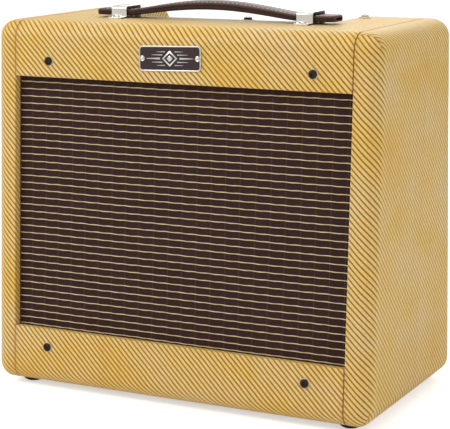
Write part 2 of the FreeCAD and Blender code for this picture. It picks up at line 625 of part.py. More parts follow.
# --- speaker leads: two wires from the output transformer to the speaker ---
leads = []
for start_x, spread in ((output_tx_x - 4, 0.0), (output_tx_x + 4, 6.0)):
    leads.append(wire([
        (start_x, output_tx_y - 18.5, floor_z + 24),
        (start_x - 8, output_tx_y - 34, floor_z + 34),
        (96 + spread, 88, 82),
        (72 + spread, 74, 100 + spread),
        (50 + spread * 0.4, 74.5, 112 + 0.9 * spread)], 1.1))
parts["speaker_leads"] = group(leads)

# --- mains cord: drops from the chassis and coils down to the floor --------
cord_points = [(cord_x, cord_y, chassis_z0 - 9), (cord_x - 3, cord_y + 4, 190),
               (cord_x - 5, cord_y + 6, 130), (cord_x - 18, cord_y + 20, 60)]
coil_steps = 18
for k in range(coil_steps + 1):
    angle = math.radians(60 + k * 40)
    radius = 44.0 - 0.35 * k
    cord_points.append((-78 + radius * math.cos(angle), 112 + radius * math.sin(angle),
                        24.5 + (coil_steps - k) * 0.92))
cord = wire(cord_points, 3.4)

# plug: built along +Y, then turned to follow the end of the coil (the last angle)
plug = box(-12.5, 12.5, 0, 30, -9, 9)
plug = plug.makeFillet(3.0, [e for e in plug.Edges if e.BoundBox.YLength > 20])
plug = fuse([plug, box(-7.1, -5.6, 29, 46, -3.2, 3.2), box(5.6, 7.1, 29, 46, -3.2, 3.2),
             cylinder(0, 29, 5.0, 2.3, 20, REAR)])
plug.rotate(Vec(0, 0, 0), Vec(*UP), math.degrees(angle))
cord_end_x, cord_end_y, _ = cord_points[-1]
plug.translate(Vec(cord_end_x - math.sin(angle) * 0.4, cord_end_y + math.cos(angle) * 0.4,
                   floor_z + 9.3))
parts["mains_cord"] = group([cord, plug])
parts["strain_relief"] = revolve([
    (3.5, -8), (7.4, -8), (8.2, -1.6), (8.2, 0), (6.0, 0), (6.0, 5), (3.5, 5)],
    cord_x, cord_y, chassis_z0)


# --- back panels (built in the upright rear frame) -------------------------
def back_panel(z0, z1):
    panel = box(-back_x, back_x, -back_t, 0, z0, z1)
    panel = panel.makeFillet(1.2, [e for e in panel.Edges if e.BoundBox.YMin > -0.1])
    return lean_back(cut(panel, [cylinder(x, -20, z, clearance_r, 30, REAR)
                                 for x, z in back_screws if z0 < z < z1]))


parts["upper_back_panel"] = back_panel(*upper_back_z)
parts["lower_back_panel"] = back_panel(*lower_back_z)

cleat_size = 13.0
cleat_rear = -back_t - 0.2
cleat_holes = [cylinder(x, -30, z, wood_screw_r, 40, REAR) for x, z in back_screws]
parts["back_cleats"] = group([
    lean_back(cut(side_box(side, open_x - cleat_size, open_x, cleat_rear - cleat_size,
                           cleat_rear, z0 + 6, z1 - 6), cleat_holes))
    for z0, z1 in (upper_back_z, lower_back_z) for side in SIDES])

screws = []
for x, z in back_screws:
    washers.append(lean_back(revolve(cup_washer, x, 0, z, REAR)))
    head = cross_head(oval_head, 2.6, 0.45, 2.2, x, 0, z, REAR)
    screws.append(lean_back(head.fuse(cylinder(x, -18.0, z, wood_screw_r, 19.6, REAR))))
parts["back_panel_screws"] = group(screws)
parts["cup_washers"] = group(washers)

# --- feet, with the screw heads recessed from below ------------------------
seat_z = -foot_height + 2.8                     # the screw head bears here
foot_profile = [
    (2.2, 0), (foot_r - 0.6, 0), (foot_r, -0.9), (foot_r - 0.2, -1.9),
    (foot_r - 1.4, -foot_height + 1.3), (foot_r - 3.0, -foot_height + 0.3),
    (foot_r - 3.8, -foot_height), (5.0, -foot_height), (5.0, seat_z), (2.2, seat_z)]
foot_screw_profile = [
    (0, -foot_height + 0.7), (3.0, -foot_height + 0.9), (4.2, -foot_height + 1.9),
    (4.2, seat_z), (wood_screw_r, seat_z), (wood_screw_r, 13.0), (0, 13.6)]
parts["feet"] = group([revolve(foot_profile, x, y, 0) for x, y in foot_spots])
parts["foot_screws"] = group([revolve(foot_screw_profile, x, y, 0) for x, y in foot_spots])


# --- handle ----------------------------------------------------------------
def handle_loop(loop_x):
    """Sheet metal bridge over the strap with one foot in front and one under the strap."""
    outer_half = loop_half_gap + loop_t
    inner_top = cab_height + loop_inner_height
    outer = block(0, loop_width / 2, handle_y, outer_half, cab_height, inner_top + loop_t)
    outer = outer.makeFillet(2.6, [e for e in outer.Edges if e.BoundBox.ZMin > inner_top
                                   and e.BoundBox.XLength > loop_width - 0.1])
    inner = block(0, loop_width, handle_y, loop_half_gap, cab_height - 5, inner_top)
    inner = inner.makeFillet(1.2, [e for e in inner.Edges if e.BoundBox.ZMin > inner_top - 0.1
                                   and e.BoundBox.XLength > loop_width])
    loop = outer.cut(inner)
    # root and tip of each foot, from the handle's centre line
    for root, tip in ((-outer_half + 0.2, -outer_half - 9.6),
                      (loop_half_gap + 0.2, loop_half_gap - 9.8)):
        tip_y = handle_y + tip
        foot = box(-loop_width / 2, loop_width / 2, tip_y, handle_y + root,
                   cab_height, cab_height + loop_t)
        tip_edges = [e for e in foot.Edges if e.BoundBox.ZLength > loop_t - 0.1
                     and abs(e.BoundBox.YMin - tip_y) < 0.01
                     and abs(e.BoundBox.YMax - tip_y) < 0.01]
        loop = loop.fuse(foot.makeFillet(3.4, tip_edges))
    loop = loop.removeSplitter()
    loop.translate(Vec(loop_x, 0, 0))
    return cut(loop, handle_holes)


def loop_screw(x, y):
    """Slotted wood screw: domed in front of the loop, flat under the strap."""
    z = cab_height + loop_t
    if y < handle_y:
        head = revolve([(0, 0), (3.3, 0), (3.3, 0.7), (2.3, 1.5), (0, 1.9)], x, y, z)
        slot_z = z + 1.0
    else:
        head = revolve([(0, 0), (3.3, 0), (3.3, 0.3), (2.7, 0.6), (0, 0.6)], x, y, z)
        slot_z = z + 0.3
    head = head.cut(block(x, 2.4, y, 0.4, slot_z, z + 3))
    return head.fuse(revolve([(0, -15.4), (0.4, -15.4), (loop_screw_r, -12.4),
                              (loop_screw_r, 0.2), (0, 0.2)], x, y, z))


parts["handle_loops"] = group([handle_loop(x) for x in loop_xs])
parts["handle_screws"] = group([loop_screw(x, y) for x in loop_xs for y in loop_screw_ys])

arch_half = 84.0         # the strap is flat beyond this
arch_steps = 24
strap_z0 = cab_height + strap_gap
strap_z1 = strap_z0 + strap_t


def arch_curve(base_z, rise):
    points = []
    for i in range(arch_steps + 1):
        x = -arch_half + 2 * arch_half * i / arch_steps
        bulge = max(0.0, 1.0 - (abs(x) / arch_half) ** 2)
        points.append(Vec(x, 0, base_z + rise * bulge ** 1.5))
    curve = Part.BSplineCurve()
    curve.interpolate(points, InitialTangent=Vec(1, 0, 0), FinalTangent=Vec(1, 0, 0))
    return curve.toShape()


def strap_line(x0, z0, x1, z1):
    return Part.LineSegment(Vec(x0, 0, z0), Vec(x1, 0, z1)).toShape()


end_x = strap_half_length
outline = [
    strap_line(-end_x, strap_z0, -arch_half, strap_z0),
    arch_curve(strap_z0, strap_rise),
    strap_line(arch_half, strap_z0, end_x, strap_z0),
    strap_line(end_x, strap_z0, end_x, strap_z1),
    strap_line(end_x, strap_z1, arch_half, strap_z1),
    arch_curve(strap_z1, strap_rise + 1.2),
    strap_line(-arch_half, strap_z1, -end_x, strap_z1),
    strap_line(-end_x, strap_z1, -end_x, strap_z0)]
strap = Part.Face(Part.Wire(Part.__sortEdges__(outline))).extrude(Vec(0, strap_width, 0))
strap.translate(Vec(0, -strap_width / 2, 0))
# round the strap's corners as seen from above
plan = block(0, end_x, 0, strap_width / 2, cab_height - 5, cab_height + 40)
plan = plan.makeFillet(5.0, [e for e in plan.Edges if e.BoundBox.ZLength > 40])
strap = strap.common(plan)
strap.translate(Vec(strap_shift, handle_y, 0))
parts["handle_strap"] = strap

# --- badge: plate and two pins ---------------------------------------------
plate = rounded_prism(badge_x - badge_width / 2, badge_x + badge_width / 2,
                      badge_z - badge_height / 2, badge_z + badge_height / 2,
                      3.5, -badge_t, 0.0)
plate.rotate(Vec(badge_x, 0, badge_z), Vec(0, 1, 0), -badge_turn)
plate = cut(plate, [cylinder(x, -5, z, badge_pin_r, 10, REAR) for x, z in badge_pins])
pin_profile = [(0, -4.6), (badge_pin_r, -3.8), (badge_pin_r, badge_t), (1.7, badge_t),
               (1.5, badge_t + 0.6), (0, badge_t + 0.9)]
pins = [lean(revolve(pin_profile, x, 0, z, FRONT)) for x, z in badge_pins]
parts["badge_plate"] = group([lean(plate)] + pins)

# --- write -----------------------------------------------------------------
for name, shape in parts.items():
    shape = shape.copy()
    shape.translate(Vec(0, -cab_depth / 2.0, foot_height))
    solids = shape.Solids
    shape = solids[0] if len(solids) == 1 else Part.makeCompound(solids)
    shape.exportStep("parts/%s.step" % name)
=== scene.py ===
"""A valve combo amplifier: a tweed-covered pine cabinet with loudspeaker, chassis and handle.

Points are worked out in millimetres in a working frame: x to the right seen from the front,
y backwards, z up, with y = 0 and z = 0 on the cabinet's front bottom edge. to_row() moves them
to the scene, in metres, where the floor lies under the feet and the cabinet is centred in depth.
"""

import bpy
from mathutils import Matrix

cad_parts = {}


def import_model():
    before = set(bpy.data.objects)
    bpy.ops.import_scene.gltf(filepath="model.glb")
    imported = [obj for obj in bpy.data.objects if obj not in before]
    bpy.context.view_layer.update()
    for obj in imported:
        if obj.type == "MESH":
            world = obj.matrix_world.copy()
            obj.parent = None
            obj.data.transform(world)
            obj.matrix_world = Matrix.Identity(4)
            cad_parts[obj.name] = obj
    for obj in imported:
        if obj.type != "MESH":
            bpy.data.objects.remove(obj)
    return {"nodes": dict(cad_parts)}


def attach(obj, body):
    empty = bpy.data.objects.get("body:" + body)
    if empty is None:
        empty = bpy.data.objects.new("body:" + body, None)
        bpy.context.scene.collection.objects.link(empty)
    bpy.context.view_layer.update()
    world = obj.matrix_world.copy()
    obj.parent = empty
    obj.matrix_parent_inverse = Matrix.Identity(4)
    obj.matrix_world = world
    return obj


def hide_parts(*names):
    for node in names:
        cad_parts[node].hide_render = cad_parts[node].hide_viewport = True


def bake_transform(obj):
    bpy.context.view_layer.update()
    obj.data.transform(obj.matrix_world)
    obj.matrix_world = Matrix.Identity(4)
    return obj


CAD_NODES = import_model()["nodes"]
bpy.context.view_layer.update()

import math
import random

import bmesh
import bpy
import numpy as np
from mathutils import Matrix, Vector, noise as mnoise

SCENE = bpy.context.scene
random.seed(7)

# ---------------------------------------------------------------------------
# Cabinet dimensions, mm
# ---------------------------------------------------------------------------
WIDTH, HEIGHT, DEPTH = 361.0, 319.0, 203.0
FRONT_LEAN, REAR_LEAN = 18.5, 14.4      # how far each face leans inwards over the height
ROUND = 15.0                            # radius of the cabinet's outer edges
FOOT = 5.0                              # height of the feet
HALF_W = WIDTH / 2
FLAT_X = HALF_W - ROUND                 # where the side round-overs begin
SEAM_X = 158.5                          # cloth seams and opening sides, from the middle
OPEN_Z0, OPEN_Z1 = 50.3, 271.8          # front opening, measured along the leaning face
BACK_Z0, BACK_Z1 = 20.0, 299.0          # rear opening
CUT_X0, CUT_X1, CUT_Y = -99.0, 103.5, 101.0     # cut-out in the top, open to the rear
RIM = 1.2                               # radius of the cloth where it turns into an opening
CLOTH_THICK = 0.85
GRID = 3.0                              # usual spacing of the cloth meshes
TWILL = 5.2                             # twill repeat along each axis
QUARTER = math.pi / 2
FAR = 9                                 # edge distance given to cloth away from any border

FRONT_ANGLE = math.atan(FRONT_LEAN / HEIGHT)
REAR_ANGLE = math.atan(REAR_LEAN / HEIGHT)
COS_F, SIN_F = math.cos(FRONT_ANGLE), math.sin(FRONT_ANGLE)
COS_R, SIN_R = math.cos(REAR_ANGLE), math.sin(REAR_ANGLE)


def front_y(z):
    return FRONT_LEAN * z / HEIGHT


def rear_y(z):
    return DEPTH - REAR_LEAN * z / HEIGHT


def to_row(points):
    """Working frame, mm, to scene, metres."""
    return (np.asarray(points, float) + np.array([0, -DEPTH / 2, FOOT])) / 1000.0


def to_working(points):
    """Scene, metres, to working frame, mm."""
    return np.array(points) * 1000 + np.array([0, DEPTH / 2, -FOOT])


def front_point(x, depth, along):
    """Point at a depth behind the front face, its height measured along that face."""
    return (x, depth * COS_F + along * SIN_F, along * COS_F - depth * SIN_F)


def rear_point(x, depth, z):
    """Point at height z and a depth inside the rear face."""
    along = (z + depth * SIN_R) / COS_R
    return (x, DEPTH - depth * COS_R - along * SIN_R, z)


def spaced(start, end, step):
    """Even stations from start to end, no further apart than step."""
    count = max(1, int(math.ceil(abs(end - start) / step)))
    return [start + (end - start) * i / count for i in range(count + 1)]


# ---------------------------------------------------------------------------
# Mesh helpers
# ---------------------------------------------------------------------------
def smooth(mesh, angle):
    mesh.polygons.foreach_set("use_smooth", np.full(len(mesh.polygons), True))
    mesh.set_sharp_from_angle(angle=math.radians(angle))


def link_mesh(name, mesh, materials):
    ob = bpy.data.objects.new(name, mesh)
    SCENE.collection.objects.link(ob)
    for material in materials:
        mesh.materials.append(material)
    return ob


def add_vectors(mesh, name, values):
    layer = mesh.attributes.new(name, "FLOAT_VECTOR", "POINT")
    layer.data.foreach_set("vector", np.array(values, np.float32).ravel())


def mesh_object(name, verts, faces, materials, face_materials=None, cloth=None,
                outward=False, angle=None):
    """Smooth mesh from scene points, with optional outward normals and sharp edges."""
    mesh = bpy.data.meshes.new(name)
    mesh.from_pydata([tuple(v) for v in verts], [], faces)
    if cloth is not None:
        add_vectors(mesh, "cloth", cloth)
    if face_materials is not None:
        mesh.polygons.foreach_set("material_index", np.asarray(face_materials, np.int32))
    mesh.polygons.foreach_set("use_smooth", np.full(len(mesh.polygons), True))
    mesh.update()
    ob = link_mesh(name, mesh, materials)
    if outward:
        bm = bmesh.new()
        bm.from_mesh(mesh)
        bmesh.ops.recalc_face_normals(bm, faces=bm.faces)
        bm.to_mesh(mesh)
        bm.free()
    if angle is not None:
        mesh.set_sharp_from_angle(angle=math.radians(angle))
    return ob


def apply_modifiers(ob):
    depsgraph = bpy.context.evaluated_depsgraph_get()
    depsgraph.update()
    mesh = bpy.data.meshes.new_from_object(
        ob.evaluated_get(depsgraph), preserve_all_data_layers=True, depsgraph=depsgraph)
    old = ob.data
    ob.modifiers.clear()
    ob.data = mesh
    if old.users == 0:
        bpy.data.meshes.remove(old)


def thicken(ob, thickness):
    """Give a sheet its thickness, away from its normals."""
    modifier = ob.modifiers.new("t", "SOLIDIFY")
    modifier.thickness = thickness / 1000
    modifier.offset = -1
    modifier.use_even_offset = False
    apply_modifiers(ob)


def assign(ob, body, slot, *nodes):
    if nodes:
        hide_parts(*nodes)
    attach(ob, body)


class Patches:
    """Collects grid patches with a (h, l, edge distance) attribute and welds them."""

    WELD = 0.012
    SHARP = 40

    def __init__(self):
        self.verts, self.faces, self.cloth = [], [], []

    def add(self, points, cloth, keep=None):
        """Add a grid; a point may be None, and keep(i, j) may leave cells out."""
        rows, cols = len(points), len(points[0])
        base = len(self.verts)
        for i in range(rows):
            for j in range(cols):
                missing = points[i][j] is None
                self.verts.append((1e6, 1e6, 1e6) if missing else points[i][j])
                self.cloth.append((0, 0, 0) if missing else cloth[i][j])
        for i in range(rows - 1):
            for j in range(cols - 1):
                if keep is not None and not keep(i, j):
                    continue
                cell = ((i, j), (i + 1, j), (i + 1, j + 1), (i, j + 1))
                if any(points[r][c] is None for r, c in cell):
                    continue
                self.faces.append([base + r * cols + c for r, c in cell])

    def build(self, name, material, thickness=0.0):
        mesh = bpy.data.meshes.new(name)
        mesh.from_pydata([tuple(v) for v in to_row(self.verts)], [], self.faces)
        add_vectors(mesh, "cloth", self.cloth)
        bm = bmesh.new()
        bm.from_mesh(mesh)
        loose = [v for v in bm.verts if not v.link_faces]
        bmesh.ops.delete(bm, geom=loose, context="VERTS")
        bmesh.ops.remove_doubles(bm, verts=bm.verts, dist=self.WELD / 1000)
        bmesh.ops.dissolve_degenerate(bm, edges=bm.edges, dist=self.WELD / 2000)
        bmesh.ops.recalc_face_normals(bm, faces=bm.faces)
        bm.to_mesh(mesh)
        bm.free()
        mesh.update()
        ob = link_mesh(name, mesh, [material])
        if thickness:
            # normals must point away from the cabinet's middle first
            middle = Vector((0, 0, (HEIGHT / 2 + FOOT) / 1000))
            facing = sum((p.center - middle).dot(p.normal) * p.area for p in mesh.polygons)
            if facing < 0:
                mesh.flip_normals()
            thicken(ob, thickness)
        smooth(ob.data, self.SHARP)
        return ob


def paint_faces(ob, choose):
    """choose(face centre mm, normal) gives each face's material index."""
    for face in ob.data.polygons:
        face.material_index = choose(to_working(face.center[:]), face.normal)


def paint_parts(ob, choose):
    """choose(size mm) gives the material index of each loose part."""
    mesh = ob.data
    parent = list(range(len(mesh.vertices)))

    def find(i):
        while parent[i] != i:
            parent[i] = parent[parent[i]]
            i = parent[i]
        return i

    for edge in mesh.edges:
        parent[find(edge.vertices[0])] = find(edge.vertices[1])
    parts = {}
    for vertex in mesh.vertices:
        parts.setdefault(find(vertex.index), []).append(vertex.co[:])
    index = {root: choose(np.ptp(to_working(points), axis=0)) for root, points in parts.items()}
    for face in mesh.polygons:
        face.material_index = index[find(face.vertices[0])]


def add_cloth(ob, coordinates):
    """Store coordinates(x, y, z) mm as the weave coordinates."""
    add_vectors(ob.data, "cloth", [coordinates(*to_working(v.co[:])) for v in ob.data.vertices])


def soften(name, node, slot, materials, width, segments=2, body="cabinet",
           bevel_angle=32, sharp_angle=40, faces=None):
    """A finished copy of a CAD node with its edges broken, in place of the plain one."""
    mesh = CAD_NODES[node].data.copy()
    mesh.name = name
    for key in ("custom_normal", "sharp_edge", "sharp_face"):
        if key in mesh.attributes:
            mesh.attributes.remove(mesh.attributes[key])
    bm = bmesh.new()
    bm.from_mesh(mesh)
    bmesh.ops.remove_doubles(bm, verts=bm.verts, dist=2e-6)
    bmesh.ops.dissolve_limit(bm, angle_limit=math.radians(0.6), verts=bm.verts, edges=bm.edges)
    bm.to_mesh(mesh)
    bm.free()
    mesh.materials.clear()
    ob = link_mesh(name, mesh, materials)
    bevel = ob.modifiers.new("b", "BEVEL")
    bevel.width = width / 1000
    bevel.segments = segments
    bevel.limit_method = "ANGLE"
    bevel.angle_limit = math.radians(bevel_angle)
    bevel.harden_normals = False
    bevel.use_clamp_overlap = True
    bevel.miter_outer = "MITER_ARC"
    apply_modifiers(ob)
    smooth(ob.data, sharp_angle)
    if faces:
        paint_faces(ob, faces)
    assign(ob, body, slot, node)
    return ob


def first_material(centre, normal):
    return 0


def lathe(name, profile, place, material, sides=64, angle=35, closed=False, wave=None):
    """Revolve (radius, height) points; place(a, height, b) puts them in the working frame.

    wave(t), if given, scales the radius round the turn.
    """
    verts, faces, rings = [], [], []
    for radius, height in profile:
        if radius < 1e-6:
            rings.append([len(verts)])
            verts.append(place(0, height, 0))
            continue
        ring = []
        for k in range(sides):
            t = 2 * math.pi * k / sides
            r = radius * (wave(t) if wave else 1.0)
            ring.append(len(verts))
            verts.append(place(r * math.cos(t), height, r * math.sin(t)))
        rings.append(ring)
    count = len(rings)
    for i in range(count if closed else count - 1):
        low, high = rings[i], rings[(i + 1) % count]
        if len(low) == 1 and len(high) == 1:
            continue
        for k in range(sides):
            k2 = (k + 1) % sides
            if len(low) == 1:
                faces.append((low[0], high[k], high[k2]))
            elif len(high) == 1:
                faces.append((low[k], high[0], low[k2]))
            else:
                faces.append((low[k], high[k], high[k2], low[k2]))
    if not closed:
        faces += [tuple(ring) for ring in (rings[0], rings[-1]) if len(ring) > 1]
    return mesh_object(name, to_row(verts), faces, [material], outward=True, angle=angle)


def tube_faces(base, rings, sides, flip=False):
    """Quads between successive rings of vertices, then the first and the last cap."""
    faces = []
    for i in range(rings - 1):
        low, high = base + i * sides, base + (i + 1) * sides
        for k in range(sides):
            k2 = (k + 1) % sides
            if flip:
                faces.append((low + k, low + k2, high + k2, high + k))
            else:
                faces.append((low + k, high + k, high + k2, low + k2))
    first = tuple(range(base, base + sides))
    last = tuple(range(base + (rings - 1) * sides, base + rings * sides))
    return faces + ([first[::-1], last] if flip else [first, last[::-1]])


def wire(name, points, radius, material, sides=8):
    """Round bar through working frame points."""
    path = np.array(points, float)
    tangents = np.gradient(path, axis=0)
    tangents /= np.linalg.norm(tangents, axis=1)[:, None]
    across = np.cross(tangents[0], [0, 0, 1.0])
    if np.linalg.norm(across) < 1e-3:
        across = np.cross(tangents[0], [0, 1.0, 0])
    verts = []
    for point, tangent in zip(path, tangents):
        across = across - tangent * np.dot(across, tangent)
        across /= np.linalg.norm(across)
        other = np.cross(tangent, across)
        for k in range(sides):
            t = 2 * math.pi * k / sides
            verts.append(point + radius * (across * math.cos(t) + other * math.sin(t)))
    faces = tube_faces(0, len(path), sides, flip=True)
    return mesh_object(name, to_row(verts), faces, [material])


def join(name, parts):
    """One mesh from several objects, which are removed."""
    materials, verts, faces, face_materials = [], [], [], []
    base = 0
    for ob in parts:
        mesh = ob.data
        co = np.zeros(len(mesh.vertices) * 3)
        mesh.vertices.foreach_get("co", co)
        verts.append(co.reshape(-1, 3))
        for face in mesh.polygons:
            faces.append(tuple(base + i for i in face.vertices))
            material = mesh.materials[face.material_index]
            if material not in materials:
                materials.append(material)
            face_materials.append(materials.index(material))
        base += len(mesh.vertices)
    joined = mesh_object(name, np.vstack(verts), faces, materials, face_materials, angle=35)
    for ob in parts:
        bpy.data.objects.remove(ob, do_unlink=True)
    return joined


def rounded_block(name, low, high, radius, material, place, segments=2):
    """Block between two corners with rounded edges, put in the working frame by place."""
    mesh = bpy.data.meshes.new(name)
    bm = bmesh.new()
    bmesh.ops.create_cube(bm, size=1.0)
    for v in bm.verts:
        v.co = Vector([a + (c + 0.5) * (b - a) for a, b, c in zip(low, high, v.co)])
    bmesh.ops.bevel(bm, geom=list(bm.edges), offset=radius, segments=segments, profile=0.5,
                    affect="EDGES")
    for v in bm.verts:
        v.co = Vector(to_row(place(*v.co)))
    bmesh.ops.recalc_face_normals(bm, faces=bm.faces)
    bm.to_mesh(mesh)
    bm.free()
    smooth(mesh, 40)
    return link_mesh(name, mesh, [material])


# ---------------------------------------------------------------------------
# Shader helpers
# ---------------------------------------------------------------------------
def feed(tree, socket, value):
    """Link a Value to a socket, or set a plain number or rgb colour."""
    if isinstance(value, Value):
        tree.links.new(value.socket, socket)
    else:
        socket.default_value = (*value, 1.0) if isinstance(value, tuple) else value


class Value:
    """A shader output with arithmetic; each operation adds a node."""

    def __init__(self, tree, socket):
        self.tree, self.socket = tree, socket

    def _math(self, operation, *operands):
        node = self.tree.nodes.new("ShaderNodeMath")
        node.operation = operation
        for socket, operand in zip(node.inputs, operands):
            feed(self.tree, socket, operand)
        return Value(self.tree, node.outputs[0])

    def __add__(self, other):
        return self._math("ADD", self, other)

    __radd__ = __add__

    def __sub__(self, other):
        return self._math("SUBTRACT", self, other)

    def __rsub__(self, other):
        return self._math("SUBTRACT", other, self)

    def __mul__(self, other):
        return self._math("MULTIPLY", self, other)

    def __truediv__(self, other):
        return self._math("DIVIDE", self, other)

    def floor(self):
        return self._math("FLOOR", self)

    def fract(self):
        return self._math("FRACT", self)

    def abs(self):
        return self._math("ABSOLUTE", self)

    def sqrt(self):
        return self._math("SQRT", self)

    def above(self, other):
        return self._math("GREATER_THAN", self, other)

    def max(self, other):
        return self._math("MAXIMUM", self, other)

    def step(self, start, end, low=0.0, high=1.0):
        """Smooth step from low at start to high at end."""
        node = self.tree.nodes.new("ShaderNodeMapRange")
        node.interpolation_type = "SMOOTHSTEP"
        node.clamp = True
        values = {"Value": self, "From Min": start, "From Max": end, "To Min": low,
                  "To Max": high}
        for name, value in values.items():
            feed(self.tree, node.inputs[name], value)
        return Value(self.tree, node.outputs["Result"])


class Material:
    """A principled material; texture methods return Values."""

    def __init__(self, name):
        self.data = bpy.data.materials.new(name)
        self.data.use_nodes = True
        self.tree = self.data.node_tree
        self.tree.nodes.clear()
        out = self.node("ShaderNodeOutputMaterial")
        self.shader = self.node("ShaderNodeBsdfPrincipled")
        self.tree.links.new(self.shader.outputs[0], out.inputs["Surface"])

    def node(self, kind, inputs=None, **settings):
        node = self.tree.nodes.new(kind)
        for key, value in settings.items():
            setattr(node, key, value)
        for key, value in (inputs or {}).items():
            feed(self.tree, node.inputs[key], value)
        return node

    def output(self, node, key):
        return Value(self.tree, node.outputs[key])

    def put(self, name, value):
        feed(self.tree, self.shader.inputs[name], value)
        return self

    def separate(self, vector):
        node = self.node("ShaderNodeSeparateXYZ", {0: vector})
        return [Value(self.tree, socket) for socket in node.outputs]

    def combine(self, x, y, z):
        return self.output(self.node("ShaderNodeCombineXYZ", {0: x, 1: y, 2: z}), 0)

    def attribute(self, name, key):
        return self.output(self.node("ShaderNodeAttribute", attribute_name=name), key)

    def cloth(self):
        """Weave coordinates in mm, across and along, and the distance to the cloth's edge."""
        return self.separate(self.attribute("cloth", "Vector"))

    def normal_xyz(self):
        return self.separate(self.output(self.node("ShaderNodeNewGeometry"), "Normal"))

    def position(self, scale=1000.0):
        """Object coordinates, in mm unless another scale is given."""
        coord = self.output(self.node("ShaderNodeTexCoord"), "Object")
        node = self.node("ShaderNodeVectorMath", {0: coord, "Scale": scale}, operation="SCALE")
        return self.output(node, 0)

    def stretched(self, vector, factors):
        """Vector times one factor, or one factor per axis."""
        node = self.node("ShaderNodeVectorMath", {0: vector}, operation="MULTIPLY")
        node.inputs[1].default_value = factors if isinstance(factors, tuple) else (factors,) * 3
        return self.output(node, 0)

    def raw_noise(self, vector, scale=1.0, detail=3.0, roughness=0.5, distortion=0.0):
        node = self.node("ShaderNodeTexNoise", {
            "Vector": vector, "Scale": scale, "Detail": detail, "Roughness": roughness,
            "Distortion": distortion})
        return self.output(node, "Fac")

    def noise(self, vector, factors, **settings):
        return self.raw_noise(self.stretched(vector, factors), **settings)

    def white(self, x, y, z):
        node = self.node("ShaderNodeTexWhiteNoise", {"Vector": self.combine(x, y, z)},
                         noise_dimensions="3D")
        return self.output(node, "Value")

    def voronoi(self, vector, factor, feature="DISTANCE_TO_EDGE"):
        node = self.node("ShaderNodeTexVoronoi", feature=feature)
        feed(self.tree, node.inputs["Vector"], self.stretched(vector, factor))
        node.inputs["Scale"].default_value = 1.0
        node.inputs["Randomness"].default_value = 1.0
        return self.output(node, "Distance")

    def mix(self, factor, first, second):
        node = self.node("ShaderNodeMix", data_type="RGBA", blend_type="MIX")
        node.clamp_factor = True
        for index, value in ((0, factor), (6, first), (7, second)):
            feed(self.tree, node.inputs[index], value)
        return self.output(node, 2)

    def shade(self, color, value, saturation=1.0):
        node = self.node("ShaderNodeHueSaturation", {
            "Hue": 0.5, "Saturation": saturation, "Value": value, "Color": color})
        return self.output(node, 0)

    def bump(self, height, distance, strength, target="Normal"):
        """Relief with its depth in metres, linked to a normal input of the shader."""
        node = self.node("ShaderNodeBump", {
            "Distance": distance, "Strength": strength, "Height": height})
        self.put(target, self.output(node, 0))


def srgb(*rgb):
    def linear(c):
        c /= 255.0
        return c / 12.92 if c <= 0.04045 else ((c + 0.055) / 1.055) ** 2.4
    return tuple(linear(c) for c in rgb)


def folded(value):
    """Sawtooth folded to a triangle wave: 0 in mid repeat, 1 at its ends."""
    return (value.fract() - 0.5).abs() * 2.0


def bulge(value):
    """Half-round thread section over -1 to 1."""
    return (1.0 - value * value).max(0.0).sqrt()


